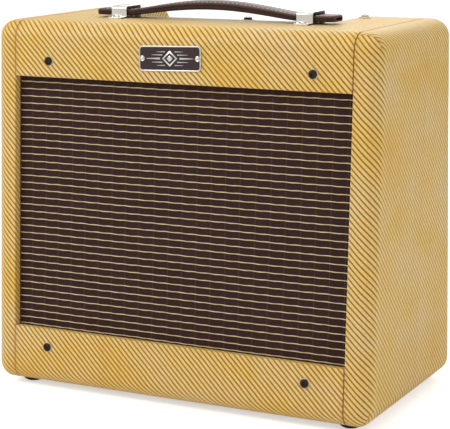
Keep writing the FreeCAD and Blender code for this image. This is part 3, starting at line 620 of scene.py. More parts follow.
# ---------------------------------------------------------------------------
# Materials. Colour pairs are sRGB 0-255 and mixed by noise; texture factors are per mm.
# ---------------------------------------------------------------------------
def tweed_material():
    mat = Material("tweed")
    across, along, edge = mat.cloth()
    cell = TWILL / 8.0
    plane = mat.combine(across, along, 0.0)
    # small waviness of the weave
    wavy_h = across + (mat.noise(plane, (0.045, 0.045, 1), detail=2.0) - 0.5) * 1.1
    wavy_l = along + (mat.noise(plane, (0.06, 0.05, 1), detail=2.0) - 0.5) * 1.0
    warp_id = (wavy_h / cell).floor()
    weft_id = (wavy_l / cell).floor()
    warp_at = ((wavy_h / cell).fract() - 0.5) * 2.0
    weft_at = ((wavy_l / cell).fract() - 0.5) * 2.0
    # warp floats step up one thread at a time, which makes the diagonal
    stepped = folded(((((warp_id + 0.5) * cell) + wavy_l) / TWILL))
    straight = folded((wavy_h + wavy_l) / TWILL)
    groove = straight * 0.5 + stepped * 0.5
    light = groove.step(0.50, 0.74, 1.0, 0.0)
    # thread relief
    warp = bulge(warp_at)
    weft = bulge(weft_at)
    thread = weft + (warp - weft) * light
    rib = 1.0 - groove * groove
    height = rib * 0.75 + thread * 0.22 + light * 0.12
    # colour varies by thread and by cell
    warp_tone = mat.white(warp_id, 3.0, 0.0)
    weft_tone = mat.white(7.0, weft_id, 0.0)
    cell_tone = mat.white(warp_id, weft_id, 1.0)
    slub = mat.noise(plane, (0.5, 0.12, 1), detail=2.0)
    cross_slub = mat.noise(plane, (0.09, 0.6, 1), detail=2.0)
    amber = mat.noise(plane, (0.016, 0.02, 1))
    pale = mat.mix(cell_tone * 0.5 + warp_tone * 0.5, srgb(240, 209, 134), srgb(226, 188, 104))
    dark = mat.mix(cell_tone * 0.5 + weft_tone * 0.5, srgb(182, 132, 44), srgb(150, 101, 26))
    # seen aslant, the raised ribs hide part of the grooves
    facing = mat.output(mat.node("ShaderNodeLayerWeight", {"Blend": 0.5}), "Facing")
    dark = mat.mix(facing.step(0.22, 0.75, 0.0, 0.38), dark, pale)
    color = mat.mix(light, dark, pale)
    # raised threads and ribs are painted lighter and the hollows between them darker, a painted
    # shade; slubs vary the tone
    value = (0.80 + thread * 0.14 + rib * 0.10 + (slub - 0.5) * 0.16
             + (cross_slub - 0.5) * 0.14)
    color = mat.shade(color, value, saturation=1.0 + (amber - 0.5) * 0.5)
    color = mat.mix(amber.step(0.55, 0.75, 0.0, 0.30), color, srgb(214, 158, 72))
    # a dark line along each border: the cut edge and a painted shade where the cloth turns down;
    # then a wider stain
    color = mat.mix(edge.step(0.14, 0.95, 1.0, 0.0) * 0.90, color, srgb(72, 46, 18))
    color = mat.mix(edge.step(0.3, 5.0, 1.0, 0.0) * 0.22, color, srgb(190, 128, 48))
    mat.put("Base Color", color).put("Roughness", 0.62 - light * 0.10)
    mat.put("Specular IOR Level", 0.28).put("Coat Weight", 0.16).put("Coat Roughness", 0.30)
    mat.bump(height, distance=0.00030, strength=0.22, target="Coat Normal")
    mat.bump(height, distance=0.00030, strength=0.85)
    return mat.data


def wood(name, first, second, axis, rings=5.0, ply=False):
    """Grain along one axis; ply adds dark layers on faces square to the depth."""
    mat = Material(name)
    position = mat.position()
    grain = tuple(0.010 if key == axis else 0.16 for key in "XYZ")

    def finer(times):
        return tuple(factor * times for factor in grain)

    broad = mat.noise(position, grain, detail=4.0, roughness=0.55, distortion=0.6)
    streak = mat.noise(position, finer(6), roughness=0.6)
    band = folded((broad * rings) + streak * 0.25)
    fibre = mat.noise(position, finer(22), detail=2.0, roughness=0.7)
    color = mat.mix(band.step(0.1, 0.95), srgb(*first), srgb(*second))
    color = mat.shade(color, 0.88 + fibre * 0.22)
    if ply:
        layer = folded(mat.separate(position)[1] / 1.6)
        cut = 1.0 - mat.normal_xyz()[1].abs().step(0.4, 0.8)
        color = mat.mix(cut * layer.step(0.5, 0.9) * 0.55, color, srgb(120, 84, 48))
    mat.put("Base Color", color).put("Roughness", 0.62).put("Specular IOR Level", 0.3)
    mat.bump(band * 0.4 + fibre * 0.6, distance=0.00022, strength=0.6)
    return mat.data


def metal(name, color, rough, brushed=0.0, wear=0.25, brush=(0.05, 1.2, 1.2), metallic=1.0):
    """wear mixes in dirt; brushed deepens the streaks whose factors are brush."""
    mat = Material(name)
    position = mat.position()
    cloud = mat.noise(position, 0.12, detail=4.0, roughness=0.6)
    fine = mat.noise(position, 1.1, roughness=0.65)
    streak = mat.noise(position, brush, roughness=0.7)
    worn = mat.mix(cloud.step(0.58, 0.80) * wear, srgb(*color), (0.10, 0.09, 0.08))
    mat.put("Base Color", mat.shade(worn, 0.94 + fine * 0.12)).put("Metallic", metallic)
    mat.put("Roughness", (cloud * 0.16 + fine * 0.08 + streak * brushed) + (rough - 0.10))
    mat.bump(fine * 0.35 + streak * (0.3 + brushed * 2.5), distance=0.00004, strength=0.5)
    return mat.data


def plastic(name, first, second, rough=0.35, scale=0.6, relief=0.00005, coat=0.0, specular=0.5):
    mat = Material(name)
    position = mat.position()
    cloud = mat.noise(position, scale * 0.2, detail=4.0, roughness=0.6)
    fine = mat.noise(position, scale * 4, roughness=0.7)
    mat.put("Base Color", mat.mix(cloud.step(0.35, 0.7), srgb(*first), srgb(*second)))
    mat.put("Roughness", cloud * 0.14 + fine * 0.10 + (rough - 0.12))
    mat.put("Specular IOR Level", specular)
    if coat:
        mat.put("Coat Weight", coat).put("Coat Roughness", 0.15)
    mat.bump(fine * 0.7 + cloud * 0.3, distance=relief, strength=0.6)
    return mat.data


def paper(name, first, second, scale=0.8, rough=0.9, relief=0.00025):
    mat = Material(name)
    position = mat.position()
    grain = mat.noise(position, scale, detail=5.0, roughness=0.75)
    cloud = mat.noise(position, 0.04)
    mat.put("Base Color", mat.mix(grain * 0.6 + cloud * 0.4, srgb(*first), srgb(*second)))
    mat.put("Roughness", rough).put("Specular IOR Level", 0.2)
    mat.bump(grain, distance=relief, strength=0.8)
    return mat.data


def twisted_thread(name, first, second, pitch):
    mat = Material(name)
    length, turn, _ = mat.cloth()
    twist = folded((length + turn * 1.4) / pitch)
    cloud = mat.noise(mat.position(), 0.5)
    # the second colour lies in the grooves of the twist, a painted shade, mixed with noise
    color = mat.mix(twist.step(0.2, 0.9) * 0.6 + cloud * 0.4, srgb(*first), srgb(*second))
    mat.put("Base Color", mat.shade(color, 0.85 + cloud * 0.3))
    mat.put("Roughness", 0.55).put("Sheen Weight", 0.2)
    mat.bump(1.0 - twist, distance=0.0001, strength=0.7)
    return mat.data


def clear_glass(name, tint=(0.97, 0.98, 0.97)):
    mat = Material(name)
    cloud = mat.noise(mat.position(), 0.05, detail=2.0)
    mat.put("Base Color", mat.mix(cloud, tint, tuple(c * 0.93 for c in tint)))
    mat.put("Roughness", cloud * 0.03 + 0.02).put("IOR", 1.12).put("Transmission Weight", 1.0)
    mat.put("Coat Weight", 0.6).put("Coat Roughness", 0.03)
    mat.bump(cloud, distance=0.0002, strength=0.3)
    return mat.data


def leather_material():
    mat = Material("leather")
    position = mat.position()
    pore = mat.voronoi(position, 0.95)
    small_pore = mat.voronoi(position, 2.3)
    cloud = mat.noise(position, (0.06, 0.10, 0.10), detail=4.0, roughness=0.6)
    fine = mat.noise(position, 2.5, roughness=0.7)
    wear = mat.attribute("wear", "Fac")
    color = mat.mix(cloud.step(0.3, 0.75), srgb(58, 30, 29), srgb(38, 19, 19))
    color = mat.mix(pore.step(0.0, 0.16, 0.5, 0.0), color, srgb(28, 11, 10))
    color = mat.mix(wear * (0.25 + fine * 0.5), color, srgb(128, 84, 64))
    mat.put("Base Color", color).put("Roughness", cloud * 0.18 + fine * 0.10 + 0.36)
    mat.put("Specular IOR Level", 0.34)
    # a polish on what faces up
    mat.put("Coat Weight", mat.normal_xyz()[2].step(0.5, 0.9) * 0.35)
    mat.put("Coat Roughness", 0.32)
    height = pore.step(0.0, 0.22) * 0.6 + small_pore.step(0.0, 0.2) * 0.3 + fine * 0.2
    mat.bump(height, distance=0.00018, strength=0.75)
    return mat.data


def grille_material():
    mat = Material("grille_weave")
    across, along, _ = mat.cloth()
    plane = mat.combine(across, along, 0.0)
    cell = 0.62
    wavy_h = across + (mat.noise(plane, (0.08, 0.08, 1), detail=2.0) - 0.5) * 0.7
    wavy_l = along + (mat.noise(plane, (0.07, 0.09, 1), detail=2.0) - 0.5) * 0.8
    warp_id = (wavy_h / cell).floor()
    weft_id = (wavy_l / (cell * 0.9)).floor()
    warp = bulge(((wavy_h / cell).fract() - 0.5) * 2.0)
    weft = bulge(((wavy_l / (cell * 0.9)).fract() - 0.5) * 2.0)
    over = ((warp_id + weft_id) / 2.0).fract().above(0.25)
    thread = warp + (weft - warp) * over
    # lighter warp threads at a wide, wandering spacing
    wander = (mat.noise(plane, (0.02, 0.004, 1), detail=1.0) - 0.5) * 5.0
    repeat = ((across + 3.0 + wander) / 13.6).fract()
    stripe = (repeat - 0.5).abs().step(0.0, 0.045, 1.0, 0.0)
    cloud = mat.noise(plane, (0.015, 0.05, 1))
    fine = mat.noise(plane, (0.9, 0.25, 1), roughness=0.7)
    tone = mat.white(warp_id, weft_id, 2.0)
    color = mat.mix(over * 0.6 + tone * 0.4, srgb(78, 50, 47), srgb(52, 34, 32))
    color = mat.mix(stripe * (0.12 + fine * 0.38), color, srgb(126, 106, 90))
    # thread crowns are painted lighter and the gaps between threads darker, a painted shade; cloud
    # and fine noise vary the tone
    value = 0.52 + thread * 0.42 + (cloud - 0.5) * 0.35 + (fine - 0.5) * 0.30
    mat.put("Base Color", mat.shade(color, value))
    mat.put("Roughness", 0.85).put("Specular IOR Level", 0.12)
    mat.bump(thread, distance=0.00022, strength=0.9)
    return mat.data


def gold_material():
    mat = Material("grille_gold_thread")
    across, along, _ = mat.cloth()
    twist = folded((across + along * 0.8) / 0.9)
    cloud = mat.noise(mat.combine(across, along, 0.0), (0.12, 1.0, 1))
    fine = mat.noise(mat.combine(across, along, 0.0), (1.4, 1.0, 1), detail=2.0)
    # darker in the grooves of the twist, a painted shade, mixed with noise
    color = mat.mix(twist.step(0.1, 0.9) * 0.5 + fine * 0.5, srgb(250, 234, 184),
                    srgb(196, 172, 118))
    mat.put("Base Color", mat.shade(color, 0.74 + cloud * 0.5, saturation=0.94))
    mat.put("Metallic", 0.2).put("Roughness", 0.40)
    mat.bump(1.0 - twist, distance=0.0001, strength=0.8)
    return mat.data


def lamination_material():
    """Thin stacked sheets."""
    mat = Material("laminations")
    position = mat.position()
    layer = folded(mat.separate(position)[2] / 0.9)
    cloud = mat.noise(position, (0.3, 0.3, 2.0))
    factor = layer.step(0.55, 0.95) * 0.7 + cloud * 0.2
    mat.put("Base Color", mat.mix(factor, srgb(34, 33, 32), (0.004, 0.004, 0.004)))
    mat.put("Metallic", 0.3).put("Roughness", cloud * 0.2 + 0.40)
    mat.bump(1.0 - layer, distance=0.0002, strength=0.8)
    return mat.data


def jewel_material():
    mat = Material("red_jewel")
    cells = mat.voronoi(mat.position(), 0.35, feature="F1")
    mat.put("Base Color", mat.mix(cells, srgb(214, 18, 16), srgb(150, 4, 6)))
    mat.put("Roughness", 0.08).put("IOR", 1.5)
    mat.put("Transmission Weight", 0.55).put("Coat Weight", 0.6)
    mat.bump(cells, distance=0.0003, strength=0.5)
    return mat.data


def loop_material():
    """Nickel, with painted shade: the faces turned to the left and right are painted dark and less
    metallic.
    """
    mat = Material("loop_nickel_side_shade")
    position = mat.position()
    cloud = mat.noise(position, 0.35, detail=4.0, roughness=0.6)
    fine = mat.noise(position, 2.5, roughness=0.7)
    # painted shade and a painted dark reflection on the left and right faces
    side = mat.normal_xyz()[0].abs().step(0.55, 0.9)
    bright = mat.mix(cloud.step(0.5, 0.75) * 0.35, srgb(246, 242, 235), srgb(176, 166, 154))
    mat.put("Base Color", mat.mix(side * 0.92, bright, srgb(44, 34, 30)))
    mat.put("Metallic", 0.72 - side * 0.35).put("Roughness", cloud * 0.14 + fine * 0.08 + 0.14)
    mat.bump(cloud * 0.6 + fine * 0.4, distance=0.00012, strength=0.5)
    return mat.data


def floor_material():
    """Near-white, with extra light towards the camera only."""
    mat = Material("floor")
    cloud = mat.raw_noise(mat.position(scale=1.0), scale=3.0)
    mat.put("Base Color", mat.mix(cloud, (0.93, 0.93, 0.93), (0.95, 0.95, 0.95)))
    mat.put("Roughness", 0.7).put("Specular IOR Level", 0.1)
    camera_ray = mat.output(mat.node("ShaderNodeLightPath"), "Is Camera Ray")
    mat.put("Emission Color", (1.0, 1.0, 1.0)).put("Emission Strength", camera_ray * 0.56)
    return mat.data


PINE_COLORS = (226, 188, 132), (196, 150, 94)
TWEED = tweed_material()
PINE_X = wood("pine_along_x", *PINE_COLORS, axis="X")
PINE_Z = wood("pine_along_z", *PINE_COLORS, axis="Z")
PLY = wood("plywood", (206, 166, 112), (178, 134, 84), axis="X", rings=3.0, ply=True)

NICKEL = metal("nickel", (222, 216, 206), rough=0.20, brushed=0.10, wear=0.30)
CHROME = metal("chrome", (226, 228, 230), rough=0.12, brushed=0.02, wear=0.12)
ZINC = metal("zinc_steel", (176, 176, 172), rough=0.36, brushed=0.22, wear=0.35)
AGED_SCREW = metal("aged_screw", (66, 54, 44), rough=0.42, brushed=0.1, wear=0.6)
CUP_NICKEL = metal("cup_washer_nickel", (196, 186, 168), rough=0.26, brushed=0.1, wear=0.45)
COPPER = metal("copper", (196, 112, 62), rough=0.3, brushed=0.3, wear=0.2,
               brush=(3.0, 0.2, 3.0))
SILVER = metal("badge_silver", (226, 224, 218), rough=0.24, brushed=0.15, wear=0.2)
BASKET = metal("basket_plate", (150, 148, 142), rough=0.38, brushed=0.2, wear=0.3)
POLE = metal("pole_zinc", (196, 186, 140), rough=0.30, brushed=0.2, wear=0.3)
ANODE = metal("anode_plate", (74, 74, 76), rough=0.5, brushed=0.1, wear=0.2, metallic=0.7)
ROD = metal("support_rod", (190, 188, 184), rough=0.3)
GETTER = metal("getter_flash", (186, 184, 180), rough=0.12, wear=0.5)

PHENOLIC = plastic("black_phenolic", (26, 24, 23), (36, 33, 31), rough=0.26, relief=0.00003,
                   coat=0.2)
BROWN_PHENOLIC = plastic("brown_phenolic", (74, 40, 24), (52, 28, 18), scale=0.8, coat=0.1)
RUBBER = plastic("rubber", (34, 32, 31), (46, 43, 41), rough=0.72, scale=1.6, relief=0.00012,
                 specular=0.3)
CORD = plastic("cord_rubber", (30, 27, 25), (42, 38, 35), rough=0.5, scale=1.2, relief=0.00008)
FERRITE = plastic("ferrite", (52, 52, 54), (38, 38, 40), rough=0.62, scale=0.8, relief=0.0001)
BELL = plastic("transformer_enamel", (22, 22, 23), (32, 32, 33), rough=0.30, scale=0.5,
               relief=0.00012, coat=0.3)
CAPACITOR = plastic("capacitor_sleeve", (222, 166, 52), (200, 142, 40), rough=0.4)
WHITE_PAINT = plastic("white_paint", (236, 232, 220), (222, 216, 200), rough=0.5, scale=1.0,
                      relief=0.00003)
ENAMEL = plastic("badge_enamel", (52, 24, 24), (40, 17, 18), rough=0.30, scale=1.2,
                 relief=0.00004, coat=0.4)
# near-black inside the screw slots, a painted shade
SLOT_SHADE = plastic("screw_slot_painted_shade", (20, 17, 14), (28, 24, 20), rough=0.6)
INK = plastic("dial_ink", (24, 24, 26), (34, 34, 36), rough=0.45, scale=1.0, relief=0.00003)
RESISTOR = plastic("resistor_body", (120, 74, 44), (96, 56, 32), rough=0.5)
MICA = plastic("mica", (232, 226, 210), (216, 208, 188), rough=0.4)

CONE = paper("cone_paper", (50, 46, 44), (34, 31, 30), scale=0.6)
FIBRE = paper("gasket_fibre", (156, 132, 96), (122, 98, 68), scale=0.5)
SPIDER = paper("spider_cloth", (196, 148, 78), (160, 112, 54), scale=1.4)
COIL_WRAP = paper("coil_wrap", (214, 196, 150), (182, 158, 110), scale=0.3, rough=0.75)
BOARD = paper("fibre_board", (40, 36, 34), (26, 24, 23), scale=0.4, rough=0.7, relief=0.0001)

LEATHER = leather_material()
STITCH = twisted_thread("stitch_thread", (226, 200, 162), (172, 140, 104), pitch=0.7)
LEAD_CLOTH = twisted_thread("cloth_wire", (214, 198, 150), (176, 150, 92), pitch=1.2)
GRILLE = grille_material()
GOLD = gold_material()
LAMINATIONS = lamination_material()
VALVE_GLASS = clear_glass("valve_glass")
BULB_GLASS = clear_glass("bulb_glass", tint=(1.0, 0.95, 0.86))
FUSE_GLASS = clear_glass("fuse_tube_glass")
JEWEL = jewel_material()
LOOP_NICKEL_SIDE_SHADE = loop_material()

# ---------------------------------------------------------------------------
# Tweed covering. The sides are two sheets; the top and bottom are bands between them.
# ---------------------------------------------------------------------------
BORDER = [0.0, 0.22, 0.5, 0.9, 1.5]     # stations beside a cut edge
# Round-over stations, degrees from the front or rear face; the cloth is pleated at PLEAT.
ARC_DEGREES = [0, 7.5, 15, 22.5, 30, 37.5, 45, 52.5, 58, 61.4, 62.0, 67.5, 75, 82.5, 90]
ARCS = [math.radians(degrees) for degrees in ARC_DEGREES]
PLEAT = math.radians(62.0)
# degrees: (how far the fold stands out, distance to its edge, which paints a shade line in the
# pleat)
FOLDS = {58: (0.10, 1.4), 61.4: (0.30, 0.50), 62.0: (0.0, 0.50), 67.5: (0.0, 2.0)}
RIGHT_SHIFT = 1.9       # the right sheet's weave does not line up with the bands


def border_drop(distance, depth=0.42, width=0.9):
    """How far a cloth border turns down at a distance from its cut edge."""
    if distance >= width:
        return 0.0
    return depth * (1 - distance / width) ** 2


def seam_drop(distance, left):
    """The left seam is fainter than the right."""
    return border_drop(distance) * (0.45 if left else 1.0)


def seam_edge(distance, left):
    # the left seam's painted shade line is fainter: its distance is counted 0.22 mm further
    return distance + 0.22 if left and distance < 6 else distance


def side_h(y, z):
    """Weave coordinate across the flat of a side."""
    return FLAT_X + ROUND * QUARTER + (y - front_y(z) - ROUND)


def rear_edge_h(z):
    """Weave coordinate where the rear round-over meets the rear face."""
    return side_h(rear_y(z) - ROUND, z) + ROUND * QUARTER


def side_stations(seam_xs):
    """Stations round a side from the top seam to the bottom one.

    Each is x, z, outward normal x and z, weave coordinate, distance to the seam.
    """
    low, high = ROUND, HEIGHT - ROUND
    stations = []
    for x in seam_xs:
        stations.append((x, HEIGHT, 0, 1, high + ROUND * QUARTER + (FLAT_X - x), x - SEAM_X))
    for a in ARCS[1:]:
        t = QUARTER - a
        stations.append((FLAT_X + ROUND * math.cos(t), high + ROUND * math.sin(t),
                         math.cos(t), math.sin(t), high + ROUND * t, FAR))
    for z in spaced(high, low, GRID)[1:]:
        stations.append((HALF_W, z, 1, 0, z, FAR))
    for a in ARCS[1:]:
        stations.append((FLAT_X + ROUND * math.cos(a), low - ROUND * math.sin(a),
                         math.cos(a), -math.sin(a), low - ROUND * a, FAR))
    for x in seam_xs[::-1][1:]:
        stations.append((x, 0, 0, -1, low - ROUND * QUARTER - (FLAT_X - x), x - SEAM_X))
    return stations


def side_round_over(station, rear, left):
    """Points and weave coordinates over the front or rear round-over, from that face."""
    x, z, nx, nz, length, distance = station
    points, cloth = [], []
    strength = abs(nz) ** 0.5           # the pleat fades out down the side
    base_x, base_z = x - ROUND * nx, z - ROUND * nz
    for degrees, a in zip(ARC_DEGREES, ARCS):
        stand, fold_edge = FOLDS.get(degrees, (0.0, FAR))
        inset = ROUND * (1 - math.sin(a))
        at_x, at_z = x - inset * nx, z - inset * nz
        drop = seam_drop(distance, left) - stand * strength
        back = ROUND * (1 - math.cos(a)) + drop * math.cos(a)
        y = rear_y(at_z) - back if rear else front_y(at_z) + back
        points.append((at_x - drop * nx * math.sin(a), y, at_z - drop * nz * math.sin(a)))
        arc = ROUND * a
        if a < PLEAT - 1e-6:            # the weave follows the face up to the pleat
            h = (rear_edge_h(base_z) + (FLAT_X - base_x) - arc * nx if rear
                 else base_x + arc * nx)
            along = base_z / COS_F + arc * nz
        else:                           # and the side beyond it
            h = rear_edge_h(z) - arc if rear else FLAT_X + arc
            along = length / COS_F
        # the distance to a seam or pleat sets the painted shade line along it
        edge = min(seam_edge(distance, left), fold_edge if strength > 0.1 else FAR)
        cloth.append((h, along, edge))
    return points, cloth


def side_wrap(patches, seam_xs, left):
    """Cloth from the front face round the side to the rear face."""
    cells = 44
    points, cloth = [], []
    for station in side_stations(seam_xs):
        x, z, nx, nz, length, distance = station
        row, row_cloth = side_round_over(station, False, left)
        drop = seam_drop(distance, left)
        start, end = front_y(z) + ROUND, rear_y(z) - ROUND
        for i in range(1, cells):
            y = start + (end - start) * i / cells
            row.append((x - drop * nx, y, z - drop * nz))
            row_cloth.append((side_h(y, z), length / COS_F, seam_edge(distance, left)))
        rear_points, rear_cloth = side_round_over(station, True, left)
        points.append(row + rear_points[::-1])
        cloth.append(row_cloth + rear_cloth[::-1])
    patches.add(points, cloth)


def side_flat(patches, seam_xs, left, low, high, extra_z, depths, place, weave_h):
    """Flat of the front or rear face beside its opening, and the turn-in between low and high.

    place(x, depth, z) puts a point; weave_h(x, z) is its weave coordinate across.
    """
    zs = [round(z, 4) for z in spaced(HEIGHT - ROUND, ROUND, GRID)]
    zs = sorted(set(zs + [low, high] + extra_z))
    cols = [x for x in seam_xs[::-1] if x > SEAM_X + RIM + 0.01] + [SEAM_X + RIM]
    points, cloth = [], []
    for z in zs:
        inside = low - 0.01 <= z <= high + 0.01
        row, row_cloth = [], []

        def bordered(x):
            row.append(place(x, seam_drop(x - SEAM_X, left), z))
            row_cloth.append((weave_h(x, z), z / COS_F, seam_edge(x - SEAM_X, left)))

        for x in cols:
            if inside:
                row.append(place(x, 0.0, z))
                row_cloth.append((weave_h(x, z), z / COS_F, FAR))
            else:
                bordered(x)
        for k in range(1, 5):           # round the opening's edge
            if inside:
                a = QUARTER * k / 4
                row.append(place(SEAM_X + RIM - RIM * math.sin(a), RIM - RIM * math.cos(a), z))
                row_cloth.append((weave_h(SEAM_X + RIM - RIM * a, z), z / COS_F, FAR))
            else:
                bordered(SEAM_X + RIM * (1 - k / 4.0))
        for depth in depths:            # turned in
            if inside:
                x = SEAM_X + RIM - RIM * QUARTER - (depth - RIM)
                row.append(place(SEAM_X, depth, z))
                row_cloth.append((weave_h(x, z), z / COS_F, depths[-1] - depth))
            else:
                row.append(None)
                row_cloth.append(None)
        points.append(row)
        cloth.append(row_cloth)
    patches.add(points, cloth)


def side_cover(name, side):
    """Cloth of one side, made for the right (side 1) and mirrored for the left (side -1)."""
    left = side < 0
    patches = Patches()
    seam_xs = sorted(set([SEAM_X + e for e in BORDER] + [161.8, 163.6, FLAT_X]))
    side_wrap(patches, seam_xs, left)
    low, high = OPEN_Z0 * COS_F, OPEN_Z1 * COS_F
    side_flat(patches, seam_xs, left, low, high,
              extra_z=[low - 0.6, low + 0.6, high - 0.6, high + 0.6],
              depths=[2.4, 4.2, 6.2, 8.0],
              place=lambda x, depth, z: front_point(x, depth, z / COS_F),
              weave_h=lambda x, z: x)
    side_flat(patches, seam_xs, left, BACK_Z0 + 1.8, BACK_Z1 - 0.8, extra_z=[],
              depths=[2.4, 6, 10, 14, 18, 21.5, 23.6], place=rear_point,
              weave_h=lambda x, z: rear_edge_h(z) + (FLAT_X - x))
    shift = 0.0 if left else RIGHT_SHIFT
    patches.verts = [(side * x, y, z) for x, y, z in patches.verts]
    patches.cloth = [(side * h + shift, along, edge) for h, along, edge in patches.cloth]
    return patches.build(name, TWEED, CLOTH_THICK)


def band_profile(top):
    """Stations of the top or bottom band from inside the front opening to the rear opening.

    Each is y, z, length, outward normal y and z, distance to the cut end.
    """
    sign = 1 if top else -1
    opening = OPEN_Z1 if top else OPEN_Z0
    level = HEIGHT if top else 0.0
    profile = []

    def round_over(a):
        inset = ROUND * (1 - math.sin(a))
        return ROUND * (1 - math.cos(a)), (HEIGHT - inset if top else inset)

    for depth in (8.0, 7.6, 6.0, 4.2, 2.6):     # turned into the opening
        _, y, z = front_point(0, depth, opening)
        profile.append((y, z, -(depth - RIM) - RIM * QUARTER, 0, -sign, 8.0 - depth))
    for i in range(4, -1, -1):                  # round the opening's edge
        a = QUARTER * i / 4
        _, y, z = front_point(0, RIM - RIM * math.cos(a),
                              opening + sign * (RIM - RIM * math.sin(a)))
        profile.append((y, z, -RIM * a, -math.cos(a), -sign * math.sin(a), FAR))
    start = opening + sign * RIM
    end = (HEIGHT - ROUND) / COS_F if top else ROUND / COS_F
    for along in spaced(start, end, GRID)[1:]:  # front face
        _, y, z = front_point(0, 0, along)
        profile.append((y, z, abs(along - start), -1, 0, FAR))
    length = abs(end - start)
    for i in range(1, 13):                      # front round-over
        a = QUARTER * i / 12
        back, z = round_over(a)
        profile.append((front_y(z) + back, z, length + ROUND * a,
                        -math.cos(a), sign * math.sin(a), FAR))
    length += ROUND * QUARTER
    y0, y1 = front_y(level) + ROUND, rear_y(level) - ROUND
    ys = spaced(y0, y1, GRID)
    if top:                                     # closer stations at the cut-out's rim
        rim_ys = [CUT_Y - d for d in (0, 0.15, 0.4, 0.8, 1.2, 2.4)] + [CUT_Y + 2.0]
        ys = sorted(set([round(y, 4) for y in ys if abs(y - CUT_Y) > 2.2] + rim_ys))
    for y in ys[1:]:                            # flat
        profile.append((y, level, length + y - y0, 0, sign, FAR))
    length += y1 - y0
    for i in range(11, -1, -1):                 # rear round-over
        a = QUARTER * i / 12
        back, z = round_over(a)
        profile.append((rear_y(z) - back, z, length + ROUND * (QUARTER - a),
                        math.cos(a), sign * math.sin(a), FAR))
    length += ROUND * QUARTER
    z_end = BACK_Z1 + 0.5 if top else BACK_Z0 - 0.5
    z_start = HEIGHT - ROUND if top else ROUND
    total = abs(z_start - z_end)
    for k in (0.35, 0.7, 0.88, 1.0):            # rear face
        z = z_start + (z_end - z_start) * k
        profile.append((rear_y(z), z, length + total * k, 1, 0, total * (1 - k)))
    return profile


def band_xs(top):
    xs = set(round(x, 4) for x in spaced(-SEAM_X, SEAM_X, GRID))
    for e in BORDER:
        xs |= {SEAM_X - e, -SEAM_X + e}
    if top:                                     # closer stations at the cut-out's ends
        xs = set(x for x in xs if abs(x - CUT_X0) > 2.2 and abs(x - CUT_X1) > 2.2)
        for d in (0.0, 0.15, 0.4, 0.8, 1.2, 2.4):
            xs |= {CUT_X0 - d, CUT_X1 + d}
        xs |= {CUT_X0 + 2.0, CUT_X1 - 2.0}
    return sorted(xs)


def cut_walls(patches, profile, xs, points, cloth):
    """Cloth turned down at the two ends and the front of the cut-out in the top."""
    floor_z = BACK_Z1 + 0.4
    turn_in = 18.5
    first = next(i for i, station in enumerate(profile) if abs(station[0] - CUT_Y) < 1e-3)
    for x in (CUT_X0, CUT_X1):
        j = xs.index(x)
        wall, wall_cloth = [], []
        for i in range(first, len(profile)):
            _, y, z = points[i][j]
            y_end = min(profile[i][0], rear_y(floor_z) - 0.05)
            row, row_cloth = [], []
            for k in range(8):
                t = k / 7.0
                row.append((x, y + (y_end - y) * t, z + (floor_z - z) * t))
                down = (z - floor_z) * t + RIM * 0.57
                row_cloth.append((x + (down if x == CUT_X0 else -down), cloth[i][j][1],
                                  turn_in * (1 - t)))
            wall.append(row)
            wall_cloth.append(row_cloth)
        patches.add(wall, wall_cloth)
    wall, wall_cloth = [], []
    for j, x in enumerate(xs):
        if CUT_X0 <= x <= CUT_X1:
            z = points[first][j][2]
            along = cloth[first][j][1]
            wall.append([(x, CUT_Y, z + (floor_z - z) * k / 7.0) for k in range(8)])
            wall_cloth.append([(x, along + (z - floor_z) * k / 7.0 + 0.6,
                                turn_in * (1 - k / 7.0)) for k in range(8)])
    patches.add(wall, wall_cloth)


def band_cover(name, top):
    patches = Patches()
    profile, xs = band_profile(top), band_xs(top)
    sign = 1 if top else -1
    origin = (OPEN_Z1 if top else OPEN_Z0) + sign * RIM
    points, cloth = [], []
    for y, z, length, ny, nz, end in profile:
        row, row_cloth = [], []
        for x in xs:
            seam = SEAM_X - abs(x)
            drop = seam_drop(seam, x < 0)
            if end < 2:
                drop = max(drop, border_drop(end, depth=0.3))
            rim = math.hypot(max(CUT_X0 - x, x - CUT_X1, 0), max(CUT_Y - y, 0))
            if top and rim < RIM:               # rounds down into the cut-out
                drop = RIM - math.sqrt(max(0.0, RIM * RIM - (RIM - rim) ** 2))
            row.append((x, y - ny * drop, z - nz * drop))
            # the cut-out's front rim counts as a border, so a thin painted shade line runs along
            # it
            rim_shade_distance = FAR
            if top and CUT_X0 - 2 <= x <= CUT_X1 + 2 and CUT_Y - 3 < y <= CUT_Y + 0.01:
                rim_shade_distance = (CUT_Y - y) + 0.30
            row_cloth.append((x, origin + sign * length, min(seam_edge(seam, x < 0), end, rim_shade_distance)))
        points.append(row)
        cloth.append(row_cloth)

    def outside_cut(i, j):
        y = 0.5 * (profile[i][0] + profile[i + 1][0])
        x = 0.5 * (xs[j] + xs[j + 1])
        return not (y > CUT_Y and CUT_X0 < x < CUT_X1)

    patches.add(points, cloth, outside_cut if top else None)
    if top:
        cut_walls(patches, profile, xs, points, cloth)
    return patches.build(name, TWEED, CLOTH_THICK)


for name, side, node in (("tweed_left_side", -1, "tweed_cover_left"),
                         ("tweed_right_side", 1, "tweed_cover_right")):
    assign(side_cover(name, side), "cabinet", "tweed", node)
for name, top, node in (("tweed_top_and_front", True, "tweed_cover_top"),
                        ("tweed_bottom_and_front", False, "tweed_cover_bottom")):
    assign(band_cover(name, top), "cabinet", "tweed", node)

